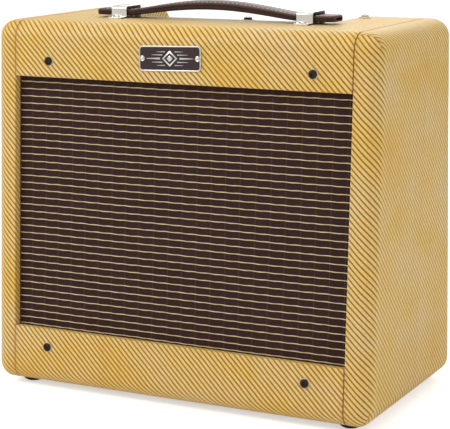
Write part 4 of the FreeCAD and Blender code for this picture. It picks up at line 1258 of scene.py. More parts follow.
# ---------------------------------------------------------------------------
# Boards
# ---------------------------------------------------------------------------
for piece in (
    # name, CAD node, slot, materials, bevel width
    ("pine_side_left", "side_board_left", "pine", [PINE_Z], 0.5),
    ("pine_side_right", "side_board_right", "pine", [PINE_Z], 0.5),
    ("pine_top", "top_board", "pine", [PINE_X], 0.5),
    ("pine_bottom", "bottom_board", "pine", [PINE_X], 0.5),
    ("back_cleat_strips", "back_cleats", "pine", [PINE_Z], 0.5),
    ("ply_front_panels", "front_panels", "plywood", [PLY], 0.3),
    ("ply_baffle", "baffle_board", "plywood", [PLY], 0.4),
):
    soften(*piece)

# ---------------------------------------------------------------------------
# Grille cloth wrapped round the baffle, with its gold threads
# ---------------------------------------------------------------------------
BAFFLE_HALF_W = 157.4
BAFFLE_Z0, BAFFLE_Z1 = 23.0, 296.6
BAFFLE_FRONT, BAFFLE_BACK = 8.9, 20.9       # depths behind the front face
GRILLE_GAP = 0.78                           # from the baffle to the cloth's outer face
GRILLE_ROUND = 0.9
GRILLE_REACH = GRILLE_GAP - GRILLE_ROUND    # end of the cloth's flat, past the baffle's edge


def grille_wrap(half):
    """(offset from the middle, depth, length) round one edge of the baffle."""
    flat, front = half + GRILLE_REACH, BAFFLE_FRONT - GRILLE_GAP + GRILLE_ROUND
    back = BAFFLE_BACK + GRILLE_REACH
    arcs = [QUARTER * i / 6 for i in range(7)]
    curve = []
    for a in arcs:
        curve.append((flat + GRILLE_ROUND * math.sin(a), front - GRILLE_ROUND * math.cos(a),
                      GRILLE_ROUND * a))
    length = GRILLE_ROUND * QUARTER
    for depth in (12.0, 15.0, 18.0):
        curve.append((half + GRILLE_GAP, depth, length + depth - front))
    length += back - front
    for a in arcs:
        curve.append((flat + GRILLE_ROUND * math.cos(a), back + GRILLE_ROUND * math.sin(a),
                      length + GRILLE_ROUND * a))
    length += GRILLE_ROUND * QUARTER
    for inward in (6, 12, 18, 23):
        curve.append((flat - inward, BAFFLE_BACK + GRILLE_GAP, length + inward))
    return curve


def grille_front(x, z):
    """Front of the cloth, sagging a little away from the baffle's edges."""
    edge = min(BAFFLE_HALF_W - abs(x), z - BAFFLE_Z0, BAFFLE_Z1 - z)
    sag = 0.10 * mnoise.noise((x * 0.02, z * 0.02, 3.1)) if edge > 6 else 0.0
    return front_point(x, BAFFLE_FRONT - GRILLE_GAP + abs(sag) * 0.6, z)


def grille_cloth():
    patches = Patches()
    mid = (BAFFLE_Z0 + BAFFLE_Z1) / 2
    half = (BAFFLE_Z1 - BAFFLE_Z0) / 2
    flat_x, flat_z = BAFFLE_HALF_W + GRILLE_REACH, half + GRILLE_REACH
    xs = spaced(-flat_x, flat_x, GRID)
    zs = spaced(mid - flat_z, mid + flat_z, GRID)
    patches.add([[grille_front(x, z) for z in zs] for x in xs],
                [[(x, z, FAR) for z in zs] for x in xs])
    side_curve = grille_wrap(BAFFLE_HALF_W)
    end_curve = [q for q in grille_wrap(half) if q[0] > flat_z - 16 or q[1] < 21]
    for s in (-1, 1):
        patches.add([[front_point(s * off, depth, z) for z in zs] for off, depth, _ in side_curve],
                    [[(s * (flat_x + length), z, FAR) for z in zs]
                     for _, _, length in side_curve])
        patches.add([[front_point(x, depth, mid + s * off) for x in xs]
                     for off, depth, _ in end_curve],
                    [[(x, mid + s * (flat_z + length), FAR) for x in xs]
                     for _, _, length in end_curve])
    cloth = patches.build("grille_cloth_sheet", GRILLE)
    assign(cloth, "cabinet", "grille_cloth", "grille_cloth")

    # the front must face forwards, so that the thickness goes towards the baffle
    def in_front(face):
        _, y, z = to_working(face.center[:])
        return abs(face.normal.y) > 0.9 and y < z * SIN_F / COS_F + 14

    if sum(face.normal.y * face.area for face in cloth.data.polygons if in_front(face)) > 0:
        cloth.data.flip_normals()
    thicken(cloth, 0.62)
    mesh = cloth.data
    mesh.polygons.foreach_set("use_smooth", np.full(len(mesh.polygons), True))


def gold_threads():
    first_z, pitch = 57.5, 6.333
    depth, wave = 8.02, 13.6            # mean depth; wavelength over the weave
    sides = 6
    xs = spaced(-157.6, 157.6, 0.85)
    verts, faces, cloth = [], [], []
    for k in range(-1, 34):
        z0 = first_z + pitch * k + (0.5 if k < 0 else 0.0)
        phase = 0.25 * mnoise.noise((0.3, k * 0.7, 5.0))
        faces += tube_faces(len(verts), len(xs), sides)
        for x in xs:
            turn = 2 * math.pi * x / wave
            drift = (0.55 * mnoise.noise((x * 0.012, 2.0, k * 0.05))
                     + 0.20 * mnoise.noise((x * 0.035, k * 1.7, 9.0)))
            z = z0 + 0.13 * math.sin(turn + 0.6 + phase) + drift
            at_depth = depth + 0.10 * math.cos(turn + 1.1)
            half_height, half_depth = 0.40 + 0.05 * math.sin(turn + k), 0.26
            for q in range(sides):
                t = 2 * math.pi * q / sides
                rise = half_height * math.cos(t)
                verts.append(front_point(x, at_depth - half_depth * math.sin(t), z + rise))
                cloth.append((x, z0 + rise, FAR))
    return mesh_object("grille_gold_threads", to_row(verts), faces, [GOLD], cloth=cloth)


grille_cloth()
assign(gold_threads(), "cabinet", "grille_cloth", "grille_cloth")

# ---------------------------------------------------------------------------
# Screws, washers, nuts
# ---------------------------------------------------------------------------
BAFFLE_SCREW_X = 124.2
BAFFLE_SCREW_ALONG = (34.3, 285.8)      # along the front face


def slot_shade_face(centre, normal):
    """Painted shade: near-black material for the faces inside the slots in the baffle screws'
    heads.
    """
    depth = centre[1] * COS_F - centre[2] * SIN_F
    along = centre[2] * COS_F + centre[1] * SIN_F
    off_axis = math.hypot(abs(centre[0]) - BAFFLE_SCREW_X,
                          min(abs(along - z) for z in BAFFLE_SCREW_ALONG))
    in_head = -2.75 < depth < -0.9 and off_axis < 2.75
    return int(in_head and (normal.y > -0.5 or depth > -1.7))


soften("baffle_screw_set", "baffle_screws", "steel_zinc", [AGED_SCREW, SLOT_SHADE], width=0.16,
       faces=slot_shade_face)
for piece in (
    # name, CAD node, slot, materials, bevel width
    ("cup_washer_set", "cup_washers", "nickel", [CUP_NICKEL], 0.14),
    ("hex_nut_set", "hex_nuts", "steel_zinc", [ZINC], 0.3),
    ("chassis_screw_pair", "chassis_screws", "nickel", [CUP_NICKEL], 0.16),
    ("back_screw_set", "back_panel_screws", "nickel", [CUP_NICKEL], 0.16),
    ("speaker_screw_set", "speaker_screws", "steel_zinc", [ZINC], 0.16),
    ("foot_screw_set", "foot_screws", "steel_zinc", [ZINC], 0.16),
    ("handle_screw_set", "handle_screws", "nickel", [NICKEL], 0.16),
    # loudspeaker; the last number is bevel segments
    ("speaker_basket", "speaker_frame", "steel_zinc", [BASKET], 0.5),
    ("speaker_gasket_ring", "speaker_gasket", "gasket_fibre", [FIBRE], 0.4),
    ("speaker_magnet_ring", "speaker_magnet", "ferrite", [FERRITE], 0.9, 3),
    ("speaker_pole_and_plates", "speaker_plates", "steel_zinc", [POLE], 0.7, 3),
):
    soften(*piece)

# ---------------------------------------------------------------------------
# Loudspeaker cone; depths are behind the front face, at the middle of the opening
# ---------------------------------------------------------------------------
SPEAKER_ALONG = (OPEN_Z0 + OPEN_Z1) / 2.0
GASKET_BACK = BAFFLE_BACK + 2.5
FRAME_BACK = GASKET_BACK + 0.5
CONE_R0, CONE_R1 = 13.6, 80.4
CONE_NECK = FRAME_BACK + 25.0 - 0.4         # depth at the cone's inner edge
CONE_SLOPE = ((GASKET_BACK + 1.2) - CONE_NECK) / (CONE_R1 - CONE_R0)
CONE_RIBS = (34, 44, 54, 64, 72)            # radii
CAP_R = 17.0


def speaker_point(a, depth, b):
    return front_point(a, depth, b + SPEAKER_ALONG)


def shell(r0, r1, count, depth, thickness):
    """Closed thin profile between two radii."""
    radii = [r0 + (r1 - r0) * i / count for i in range(count + 1)]
    return [(r, depth(r)) for r in radii] + [(r, depth(r) + thickness) for r in radii[::-1]]


def cone_depth(r):
    rib = sum(0.34 * math.exp(-((r - rib_r) / 1.3) ** 2) for rib_r in CONE_RIBS)
    return CONE_NECK + CONE_SLOPE * (r - CONE_R0) - rib * 0.5


def surround_depth(r):
    t = (r - 80.7) / (90.0 - 80.7)
    if t < 0:
        return GASKET_BACK + 1.45
    if t > 1:
        return GASKET_BACK
    ripple = math.sin(math.pi * 2.0 * t) * math.sin(math.pi * t)
    return GASKET_BACK + 1.45 * (1 - t) - 0.55 * ripple


def spider_depth(r):
    t = (r - 13.1) / (45.4 - 13.1)
    fade = min(1, min(t, 1 - t) * 8)
    return FRAME_BACK + 28.9 + 1.7 * t + 0.45 * math.sin(2 * math.pi * r / 5.2) * fade


def cap_dome(radius, rise):
    base = CONE_NECK + CONE_SLOPE * (CAP_R - CONE_R0) - 0.05
    arcs = [QUARTER * i / 12 for i in range(12)]
    return ([(radius * math.cos(a), base - rise * math.sin(a)) for a in arcs]
            + [(0, base - rise)])


def flexing(ob, node, fixed_depth, moving_depth):
    """A ring between the cabinet and the cone, put in place of the CAD one."""
    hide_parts(node)
    tuple(to_row(speaker_point(0, fixed_depth, 0)))
    tuple(to_row(speaker_point(0, moving_depth, 0)))
    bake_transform(ob)


assign(lathe("paper_cone", shell(CONE_R0, CONE_R1, 90, cone_depth, 0.85), speaker_point, CONE,
             sides=96, angle=40, closed=True), "cone_assembly", "cone_paper", "speaker_cone")
assign(lathe("dust_cap_dome", cap_dome(CAP_R, 5.4) + cap_dome(16.4, 4.9)[::-1], speaker_point,
             CONE, angle=40, closed=True), "cone_assembly", "cone_paper", "dust_cap")
soften("voice_coil_former", "voice_coil", "coil_copper", [COPPER], width=0.06, segments=1,
       body="cone_assembly", faces=first_material)
surround = lathe("cone_surround", shell(79.6, 102.4, 80, surround_depth, 0.45), speaker_point,
                 CONE, sides=96, angle=40, closed=True)
flexing(surround, "speaker_surround", GASKET_BACK + 0.25, GASKET_BACK + 1.4)
spider = lathe("corrugated_spider", shell(13.15, 45.4, 90, spider_depth, 0.35), speaker_point,
               SPIDER, sides=96, angle=50, closed=True)
flexing(spider, "speaker_spider", FRAME_BACK + 30.7, FRAME_BACK + 29.0)

# ---------------------------------------------------------------------------
# Chassis and controls
# ---------------------------------------------------------------------------
PANEL_TOP, PANEL_UNDER = 298.9, 297.4
KNOB_X, KNOB_Y = 5.5, 141.0
KNOB_BASE = PANEL_TOP + 3.4
KNOB_TURN = math.radians(27.0)


def about_knob(turn):
    """Placing function that turns a point anticlockwise, seen from above, about the knob."""
    c, s = math.cos(turn), math.sin(turn)
    return lambda x, y, z: (KNOB_X + x * c - y * s, KNOB_Y + x * s + y * c, z)


def dial():
    """Figures 1 to 12 and scale marks on the panel round the knob; read from behind."""
    figure_r, mark_r0, mark_r1 = 24.5, 18.6, 21.2
    parts = []
    for k in range(12):
        a = math.radians(150 - 300 * k / 11.0)      # clockwise from straight back
        curve = bpy.data.curves.new("n", "FONT")
        curve.body = str(k + 1)
        curve.size = 0.0042
        curve.align_x = "CENTER"
        curve.align_y = "CENTER"
        curve.extrude = 0.00006
        curve.resolution_u = 3
        text = bpy.data.objects.new("n", curve)
        SCENE.collection.objects.link(text)
        text.location = to_row((KNOB_X + figure_r * math.sin(a),
                                KNOB_Y + figure_r * math.cos(a), PANEL_TOP + 0.05))
        text.rotation_euler = (0, 0, math.pi)
        bpy.context.view_layer.update()
        depsgraph = bpy.context.evaluated_depsgraph_get()
        mesh = bpy.data.meshes.new_from_object(text.evaluated_get(depsgraph))
        mesh.transform(text.matrix_world)
        mesh.materials.clear()
        parts.append(link_mesh("num", mesh, [INK]))
        bpy.data.objects.remove(text, do_unlink=True)
        parts.append(rounded_block(
            "mark", (-0.22, mark_r0, PANEL_TOP - 0.02), (0.22, mark_r1, PANEL_TOP + 0.09),
            radius=0.04, material=INK, place=about_knob(-a), segments=1))
    return join("dial_figures", parts)


soften("chassis_pan", "chassis", "chrome", [CHROME, ZINC], width=0.5, segments=3,
       faces=lambda centre, normal: 0 if centre[2] > PANEL_TOP - 0.8 else 1)
soften("panel_nut_set", "panel_nuts", "nickel", [NICKEL], width=0.35)
soften("volume_potentiometer", "volume_pot", "steel_zinc", [ZINC, BROWN_PHENOLIC], width=0.4,
       faces=lambda centre, normal: 1 if centre[1] > 152.9 else 0)
soften("volume_spindle", "volume_shaft", "steel_zinc", [ZINC], width=0.3,
       body="volume_control")
soften("chicken_head_knob", "volume_knob", "phenolic", [PHENOLIC], width=0.7, segments=3,
       body="volume_control", bevel_angle=28, sharp_angle=30)
# white line on the top of the knob's pointer
pointer_line = rounded_block(
    "knob_pointer_line", (-0.75, -4.0, KNOB_BASE + 15.3), (0.75, 15.0, KNOB_BASE + 15.85),
    radius=0.12, material=WHITE_PAINT, place=about_knob(KNOB_TURN))
assign(pointer_line, "volume_control", "phenolic", "volume_knob")
soften("input_jack_pair", "input_jacks", "nickel", [NICKEL, PHENOLIC], width=0.25)
soften("pilot_holder", "pilot_lamp_holder", "nickel", [NICKEL], width=0.3)
soften("red_faceted_jewel", "pilot_jewel", "jewel_red", [JEWEL], width=0.35, bevel_angle=12,
       sharp_angle=15)
soften("pilot_bulb_glass", "pilot_bulb", "fuse_glass", [BULB_GLASS, NICKEL], width=0.3,
       faces=lambda centre, normal: 1 if centre[2] < PANEL_UNDER - 20.4 else 0)
soften("fuse_holder_body", "fuse_holder", "phenolic", [PHENOLIC], width=0.35)
soften("fuse_holder_cap", "fuse_cap", "phenolic", [PHENOLIC], width=0.4, segments=3,
       body="fuse_carrier")
soften("fuse_cartridge", "glass_fuse", "fuse_glass", [FUSE_GLASS, NICKEL], width=0.3,
       body="fuse_carrier")
assign(dial(), "cabinet", "chrome")


# ---------------------------------------------------------------------------
# Electronics
# ---------------------------------------------------------------------------
def board_part(size):
    """Board, resistor or capacitor, told apart by size."""
    if size[0] > 60:
        return 0
    return 1 if size[2] < 13 and size[0] < 5.2 else 2


def plug_blade(centre, normal):
    """Bare metal for the faces at the outer end of the plug."""
    dx, dy = centre[0] + 59.15, centre[1] - 144.65
    outward = -0.866 * dx + 0.5 * dy
    sideways = 0.5 * dx + 0.866 * dy
    return int(outward > 30.3 and abs(sideways) < 8.5 and centre[2] < 36.5)


paint_parts(soften("component_board", "circuit_board", "eyelet_board",
                   [BOARD, RESISTOR, CAPACITOR], width=0.2), board_part)
soften("filter_capacitor_set", "filter_capacitors", "capacitor", [CAPACITOR, ZINC], width=0.8,
       segments=3, faces=lambda centre, normal: 1 if abs(normal.x) > 0.9 else 0)
soften("tube_socket_set", "tube_sockets", "brown_phenolic", [BROWN_PHENOLIC, ZINC], width=0.3,
       faces=first_material)
for piece in (
    # name, CAD node, slot, materials, bevel width, bevel segments
    ("mains_transformer_core", "power_transformer_core", "core_steel", [LAMINATIONS], 0.6, 2),
    ("mains_transformer_bell", "power_transformer_coil", "coil_paper", [BELL], 0.6, 3),
    ("output_transformer_stack", "output_transformer_core", "core_steel", [LAMINATIONS], 0.3, 2),
    ("output_transformer_winding", "output_transformer_coil", "coil_paper", [COIL_WRAP], 0.6, 3),
):
    soften(*piece)
add_cloth(soften("speaker_lead_pair", "speaker_leads", "wire_cloth", [LEAD_CLOTH], width=0.0001,
                 segments=1), lambda x, y, z: (x + z, y, FAR))
soften("mains_flex_and_plug", "mains_cord", "cord_rubber", [CORD, NICKEL], width=0.05,
       segments=1, faces=plug_blade)
soften("cord_bushing", "strain_relief", "phenolic", [PHENOLIC], width=0.4)

# Valves hang down from their sockets
VALVE_Y = 143.0
VALVE_TOP = 242.0


def valve_parts(node, x, glass, glass_r, cage_r, top, bottom, getter, getter_closed):
    """Glass, electrodes between the top and bottom heights, and the silvered getter patch."""
    def place(a, h, b):
        return (x + a, VALVE_Y + b, h)

    def mica_wave(t):
        return 0.92 + 0.06 * math.cos(6 * t)

    def anode_wave(t):
        c = abs(math.cos(t))
        return (1.0 if c < 0.92 else 1.16) * (0.74 + 0.26 * c)

    assign(lathe(node + "_glass", glass, place, VALVE_GLASS, angle=45),
           "cabinet", "valve_glass", node)
    high, low = top - 4.2, bottom + 4.2
    anode = [(cage_r - 0.5, high), (cage_r, high), (cage_r, low), (cage_r - 0.5, low)]
    parts = [lathe("anode", anode, place, ANODE, sides=32, angle=30, closed=True,
                   wave=anode_wave)]
    disc_r = glass_r - 1.6
    for z in (top - 3.0, bottom + 3.6):
        disc = [(0, z), (disc_r, z), (disc_r, z - 0.6), (0, z - 0.6)]
        parts.append(lathe("mica", disc, place, MICA, sides=40, angle=30, wave=mica_wave))
    for dx, dy in ((0.55, 0), (-0.55, 0), (0, 0.35), (0, -0.35)):
        line = [place(cage_r * dx, z, cage_r * dy)
                for z in (top + 2.5, (top + bottom) / 2, bottom + 1.0)]
        parts.append(wire("rod", line, 0.4, ROD))
    turns = [2 * math.pi * i / 24 for i in range(24)]
    ring_r = cage_r * 0.75
    ring = [place(ring_r * math.cos(t), bottom - 1.5, ring_r * math.sin(t)) for t in turns]
    parts.append(wire("ring", ring, 0.45, ROD))
    assign(join(node + "_electrodes", parts), "cabinet", "steel_zinc", node)
    inner = [(max(0.0, r - 0.12), h + 0.12) for r, h in getter[::-1]]
    assign(lathe(node + "_getter", getter + inner, place, GETTER, sides=48, angle=60,
                 closed=getter_closed), "cabinet", "steel_zinc", node)


def octal_valve(node, x, glass_r, length):
    """Straight glass on a black base."""
    z = VALVE_TOP
    base = [(0, z + 7.3), (3.4, z + 7.3), (4.0, z + 6.6), (4.0, z), (14.6, z), (15.5, z - 0.8),
            (15.6, z - 1.6), (15.6, z - 12.6), (15.3, z - 13.7), (14.4, z - 14.2),
            (13.6, z - 14.2), (13.6, z - 4), (0, z - 4)]
    assign(lathe(node + "_base", base, lambda a, h, b: (x + a, VALVE_Y + b, h), PHENOLIC,
                 sides=56, angle=30), "cabinet", "phenolic", node)
    wall = 0.9
    neck, tip = z - 13.0, z - length
    shoulder = tip + 13
    dome = []
    for i in range(1, 9):
        a = QUARTER * i / 9
        dome.append((glass_r * math.cos(a) ** 0.9, shoulder - 12.9 * math.sin(a)))
    outer = [(glass_r - 1.6, neck + 2.0), (glass_r - 0.9, neck - 0.5), (glass_r, neck - 3.2),
             (glass_r, shoulder)] + dome + [(0, tip + 0.05)]
    inner = [(0, tip + 0.05 + wall)]
    for r, h in dome[::-1]:
        inner.append((max(0.2, r - wall), h + (wall if r < glass_r * 0.8 else wall * 0.4)))
    inner += [(glass_r - wall, shoulder), (glass_r - wall, neck - 3.2),
              (glass_r - 1.9, neck - 0.5), (glass_r - 2.4, neck + 2.0)]
    getter = []
    for i in range(7):
        a = math.radians(30 + 60 * i / 6)
        getter.append(((glass_r - 1.25) * math.cos(a) ** 0.9, shoulder - 11.3 * math.sin(a)))
    valve_parts(node, x, outer + inner, glass_r, cage_r=glass_r * 0.58, top=z - 17.0,
                bottom=tip + 15.0, getter=getter, getter_closed=False)


def small_valve(node, x):
    """All-glass valve with a drawn tip."""
    z = VALVE_TOP
    shoulder = z - 39

    def dome(width, drop):
        arcs = [QUARTER * i / 7 for i in range(1, 7)]
        return [(2.2 + width * math.cos(a), shoulder - drop * math.sin(a)) for a in arcs]

    outer = [(2.2, z + 4.8), (2.2, z), (7.6, z), (9.6, z - 1.2), (10.8, z - 3.6),
             (10.9, z - 6), (10.9, shoulder)]
    outer += dome(8.7, 7.0) + [(1.9, z - 46.6), (1.2, z - 49.2), (0, z - 49.9)]
    inner = [(0, z - 45.2), (2.0, z - 45.2)] + dome(8.0, 6.3)[::-1]
    inner += [(10.2, shoulder), (10.2, z - 6), (9.4, z - 2.4), (7.4, z - 1.2), (0, z - 1.2)]
    getter = []
    for i in range(6):
        a = math.radians(30 + 60 * i / 6)
        getter.append((2.2 + 7.6 * math.cos(a), shoulder - 5.6 * math.sin(a)))
    getter.append((2.3, shoulder - 5.6))
    valve_parts(node, x, outer + inner, 10.9, cage_r=6.2, top=z - 5.0, bottom=z - 38.0,
                getter=getter, getter_closed=True)


octal_valve("power_tube", x=51.0, glass_r=14.4, length=82.0)
octal_valve("rectifier_tube", x=9.0, glass_r=14.9, length=86.0)
small_valve("preamp_tube", x=86.0)


# ---------------------------------------------------------------------------
# Back panels wrapped in the same cloth; feet
# ---------------------------------------------------------------------------
def back_panel(name, node, middle):
    """middle is the panel's mid height, where the wrap changes direction."""
    def weave(x, y, z):
        out = (y - DEPTH) * COS_R + z * SIN_R       # 0 at the outer face
        return (x, z + 3 + (out if z < middle else -out) * 0.9, FAR)

    ob = soften(name, node, "tweed", [TWEED, BOARD], width=0.9, segments=3, bevel_angle=25,
                sharp_angle=50, faces=lambda centre, normal: 1 if normal.y < -0.9 else 0)
    add_cloth(ob, weave)


back_panel("tweed_upper_back", "upper_back_panel", middle=251.0)
back_panel("tweed_lower_back", "lower_back_panel", middle=66.0)
soften("rubber_feet", "feet", "rubber", [RUBBER], width=0.9, segments=3)

# ---------------------------------------------------------------------------
# Handle: a leather strap arched over the top
# ---------------------------------------------------------------------------
STRAP_X, STRAP_Y = 1.9, 87.6            # middle of the strap
STRAP_HALF_L, STRAP_HALF_W = 114.2, 11.0
STRAP_CORNER = 5.0
STRAP_BASE = HEIGHT + 2.2
STRAP_EDGE = 1.7                        # radius of the strap's long edges
ARCH_HALF = 84.0
STITCH_INSET = 2.9
CROWN_FLAT = 0.35                       # crown where the strap lies flat
GROOVE = 0.34                           # depth of the stitching groove


def arch(x, height):
    if abs(x) >= ARCH_HALF:
        return 0.0
    return height * (1 - (abs(x) / ARCH_HALF) ** 2) ** 1.5


def strap_section(x):
    """Underside height, top height, half-width and fullness, at x from the strap's middle."""
    under = STRAP_BASE + arch(x, 7.2) + 0.05
    top = STRAP_BASE + 5.4 + arch(x, 8.4)
    past = abs(x) - (STRAP_HALF_L - STRAP_CORNER)
    half = STRAP_HALF_W
    if past > 0:
        half += math.sqrt(max(0.0, STRAP_CORNER ** 2 - past * past)) - STRAP_CORNER
    return under, top, half, arch(x, 1.0)


def crown(u, full):
    """Rise of the top above its edges, u running from -1 to 1 across it."""
    return (CROWN_FLAT + 1.25 * full) * (1 - abs(u) ** 2.2)


def strap_ring(x):
    """(y, z, wear) round the strap's section, from the top's -y edge, across and under."""
    under, top, half, full = strap_section(x)
    end = max(0.0, 1 - (STRAP_HALF_L - abs(x)) / 1.3)
    tip = (1 - math.sqrt(max(0.0, 1 - end * end))) * STRAP_EDGE     # rounds the two ends
    top, under = top - tip, under + tip
    flat = half - STRAP_EDGE
    ring = []
    for i in range(31):
        u = -1 + 2 * i / 30
        y = u * flat
        edge = half - abs(y)
        groove = GROOVE * math.exp(-((edge - STITCH_INSET) / 0.55) ** 2)
        bead = 0.18 * math.exp(-((edge - 1.6) / 0.8) ** 2)
        wear = 0.5 * math.exp(-((edge - 1.6) / 1.0) ** 2) + 0.25 * full
        ring.append((y, top + crown(u, full) - groove + bead - CROWN_FLAT, wear))
    high, low = top - CROWN_FLAT - STRAP_EDGE, under + STRAP_EDGE
    steps = 7
    arcs = [QUARTER * i / steps for i in range(1, steps + 1)]
    right = []
    for a in arcs:
        right.append((flat + STRAP_EDGE * math.sin(a), high + STRAP_EDGE * math.cos(a),
                      0.6 * math.cos(a) + 0.1))
    for k in (0.35, 0.5, 0.65):         # shallow groove along the strap's side
        right.append((half - (0.28 if k == 0.5 else 0.0), high + (low - high) * k, 0.0))
    for a in arcs:
        right.append((flat + STRAP_EDGE * math.cos(a), low - STRAP_EDGE * math.sin(a), 0.1))
    left = [(-y, z, wear) for y, z, wear in right[::-1]]
    left.insert(steps, (-half, low, 0.1))
    bottom = [((1 - 2 * i / 9.0) * flat, under, 0.0) for i in range(1, 9)]
    extra = 0.5 if end > 0.2 else 0
    return [(y, z, min(1, wear + extra)) for y, z, wear in ring + right + bottom + left]


def strap():
    xs = spaced(-STRAP_HALF_L, STRAP_HALF_L, 1.0)
    for d in (0.05, 0.2, 0.45, 0.7):
        xs += [STRAP_HALF_L - d, -STRAP_HALF_L + d]
    xs = sorted(set(round(x, 4) for x in xs))
    verts, wears = [], []
    for x in xs:
        ring = strap_ring(x)
        for y, z, wear in ring:
            uneven = 0.05 * mnoise.noise((x * 0.12, y * 0.2, 1.0))
            verts.append((x + STRAP_X, STRAP_Y + y, z + uneven))
            wears.append(wear)
    ob = mesh_object("leather_handle_strap", to_row(verts), tube_faces(0, len(xs), len(ring)),
                     [LEATHER], outward=True, angle=60)
    layer = ob.data.attributes.new("wear", "FLOAT", "POINT")
    layer.data.foreach_set("value", np.array(wears, np.float32))
    return ob


def stitches():
    pitch, length, margin = 4.1, 3.0, 9.0
    rings, sides = 7, 6
    u = (STRAP_HALF_W - STITCH_INSET) / (STRAP_HALF_W - STRAP_EDGE)
    verts, faces, cloth = [], [], []
    for s in (-1, 1):
        x = -STRAP_HALF_L + margin
        while x < STRAP_HALF_L - margin - length:
            y = s * (strap_section(x + length / 2)[2] - STITCH_INSET)
            faces += tube_faces(len(verts), rings, sides)
            for i in range(rings):
                t = i / 6.0
                at_x = x + length * t
                _, top, _, full = strap_section(at_x)
                z = (top + crown(u, full) - CROWN_FLAT - GROOVE
                     + 0.42 * math.sin(math.pi * t) - 0.06)
                swell = math.sin(math.pi * min(max(t, 0.02), 0.98)) ** 0.4
                r = 0.42 * (0.35 + 0.65 * swell)
                for k in range(sides):
                    a = 2 * math.pi * k / sides
                    verts.append((at_x + STRAP_X, STRAP_Y + y + r * math.cos(a),
                                  z + r * math.sin(a)))
                    cloth.append((at_x + STRAP_X, r * a, FAR))
            x += pitch
    return mesh_object("handle_stitching", to_row(verts), faces, [STITCH], cloth=cloth)


soften("nickel_loops", "handle_loops", "nickel", [LOOP_NICKEL_SIDE_SHADE], width=0.4, segments=3)
assign(strap(), "handle", "leather", "handle_strap")
assign(stitches(), "handle", "leather", "handle_strap")

# ---------------------------------------------------------------------------
# Badge: enamelled plate with a raised rim and a plain lozenge device
# ---------------------------------------------------------------------------
BADGE_X, BADGE_ALONG = -5.2, 292.9
BADGE_W, BADGE_H, BADGE_CORNER = 58.2, 21.2, 3.5
BADGE_TILT = math.radians(1.7)
# inset from the outline, height above the front face
BADGE_RINGS = [(0.15, 0.02), (0.0, 0.2), (0.0, 1.0), (0.12, 1.3), (0.4, 1.42), (0.8, 1.42),
               (1.05, 1.3), (1.15, 0.92), (1.6, 0.90)]
# height from the middle, inner and outer end, half-thickness at the inner end
BADGE_RAYS = [(0.0, 9.2, 22.0, 0.85), (3.0, 7.0, 17.0, 0.5), (-3.0, 7.0, 17.0, 0.5),
              (5.6, 4.6, 12.5, 0.4), (-5.6, 4.6, 12.5, 0.4)]
PIN_X = 26.0
PIN_PROFILE = [(0, 0.8), (2.3, 0.8), (2.3, 1.2), (1.9, 1.42), (1.5, 1.25), (1.3, 1.2),
               (1.05, 1.75), (0.55, 2.0), (0, 2.05)]


def badge_point(x, out, z):
    """Point on the plate, out in front of the cabinet's face."""
    c, s = math.cos(BADGE_TILT), math.sin(BADGE_TILT)
    return front_point(BADGE_X + x * c - z * s, -out, BADGE_ALONG + x * s + z * c)


def rounded_outline(width, height, radius, steps=8):
    x, z = width / 2 - radius, height / 2 - radius
    outline = []
    for cx, cz, start in ((x, z, 0), (-x, z, 90), (-x, -z, 180), (x, -z, 270)):
        for i in range(steps + 1):
            a = math.radians(start + 90 * i / steps)
            outline.append((cx + radius * math.cos(a), cz + radius * math.sin(a)))
    return outline


def badge_plate():
    verts = []
    for inset, height in BADGE_RINGS:
        outline = rounded_outline(BADGE_W - 2 * inset, BADGE_H - 2 * inset,
                                  max(0.4, BADGE_CORNER - inset))
        verts += [badge_point(x, height, z) for x, z in outline]
    sides = len(outline)
    *walls, back, front = tube_faces(0, len(BADGE_RINGS), sides, flip=True)
    # silver rim; enamel inside it from the innermost ring of faces
    face_materials = [0] * (len(walls) - sides) + [1] * sides + [1, 0]
    return mesh_object("badge_enamel_plate", to_row(verts), walls + [front, back],
                       [SILVER, ENAMEL], face_materials, outward=True, angle=45)


def relief(outline, low, high, material, inset=0.25):
    """Low raised shape with a chamfered top, from an outline on the plate."""
    centre = np.mean(np.array(outline), axis=0)
    verts = [badge_point(x, h, z) for h in (low, high - 0.12) for x, z in outline]
    for point in outline:
        off = np.array(point) - centre
        x, z = centre + off * max(0.0, 1 - inset / max(np.linalg.norm(off), 1e-6))
        verts.append(badge_point(x, high, z))
    return mesh_object("relief", to_row(verts), tube_faces(0, 3, len(outline), flip=True),
                       [material], outward=True, angle=30)


def lozenge(half_w, half_h):
    return [(half_w, 0), (0, half_h), (-half_w, 0), (0, -half_h)]


def badge_device():
    """Nested lozenges, tapering rays to each side and a pin at each end."""
    parts = [relief(lozenge(7.2, 6.6), 0.85, 1.25, SILVER),
             relief(lozenge(5.4, 4.95), 1.2, 1.30, ENAMEL, inset=0.1),
             relief(lozenge(2.9, 2.7), 1.25, 1.45, SILVER)]
    for s in (-1, 1):
        for z, inner, outer, half in BADGE_RAYS:
            ray = [(s * inner, z - half), (s * outer, z - half * 0.25),
                   (s * outer, z + half * 0.25), (s * inner, z + half)]
            parts.append(relief(ray[::s], 0.85, 1.22, SILVER, inset=0.12))
    for s in (-1, 1):
        parts.append(lathe("pin", PIN_PROFILE,
                           lambda a, h, b: badge_point(s * PIN_X + a, h, b),
                           SILVER, sides=28, angle=40))
    return join("badge_device_and_pins", parts)


assign(badge_plate(), "cabinet", "badge", "badge_plate")
assign(badge_device(), "cabinet", "badge", "badge_plate")

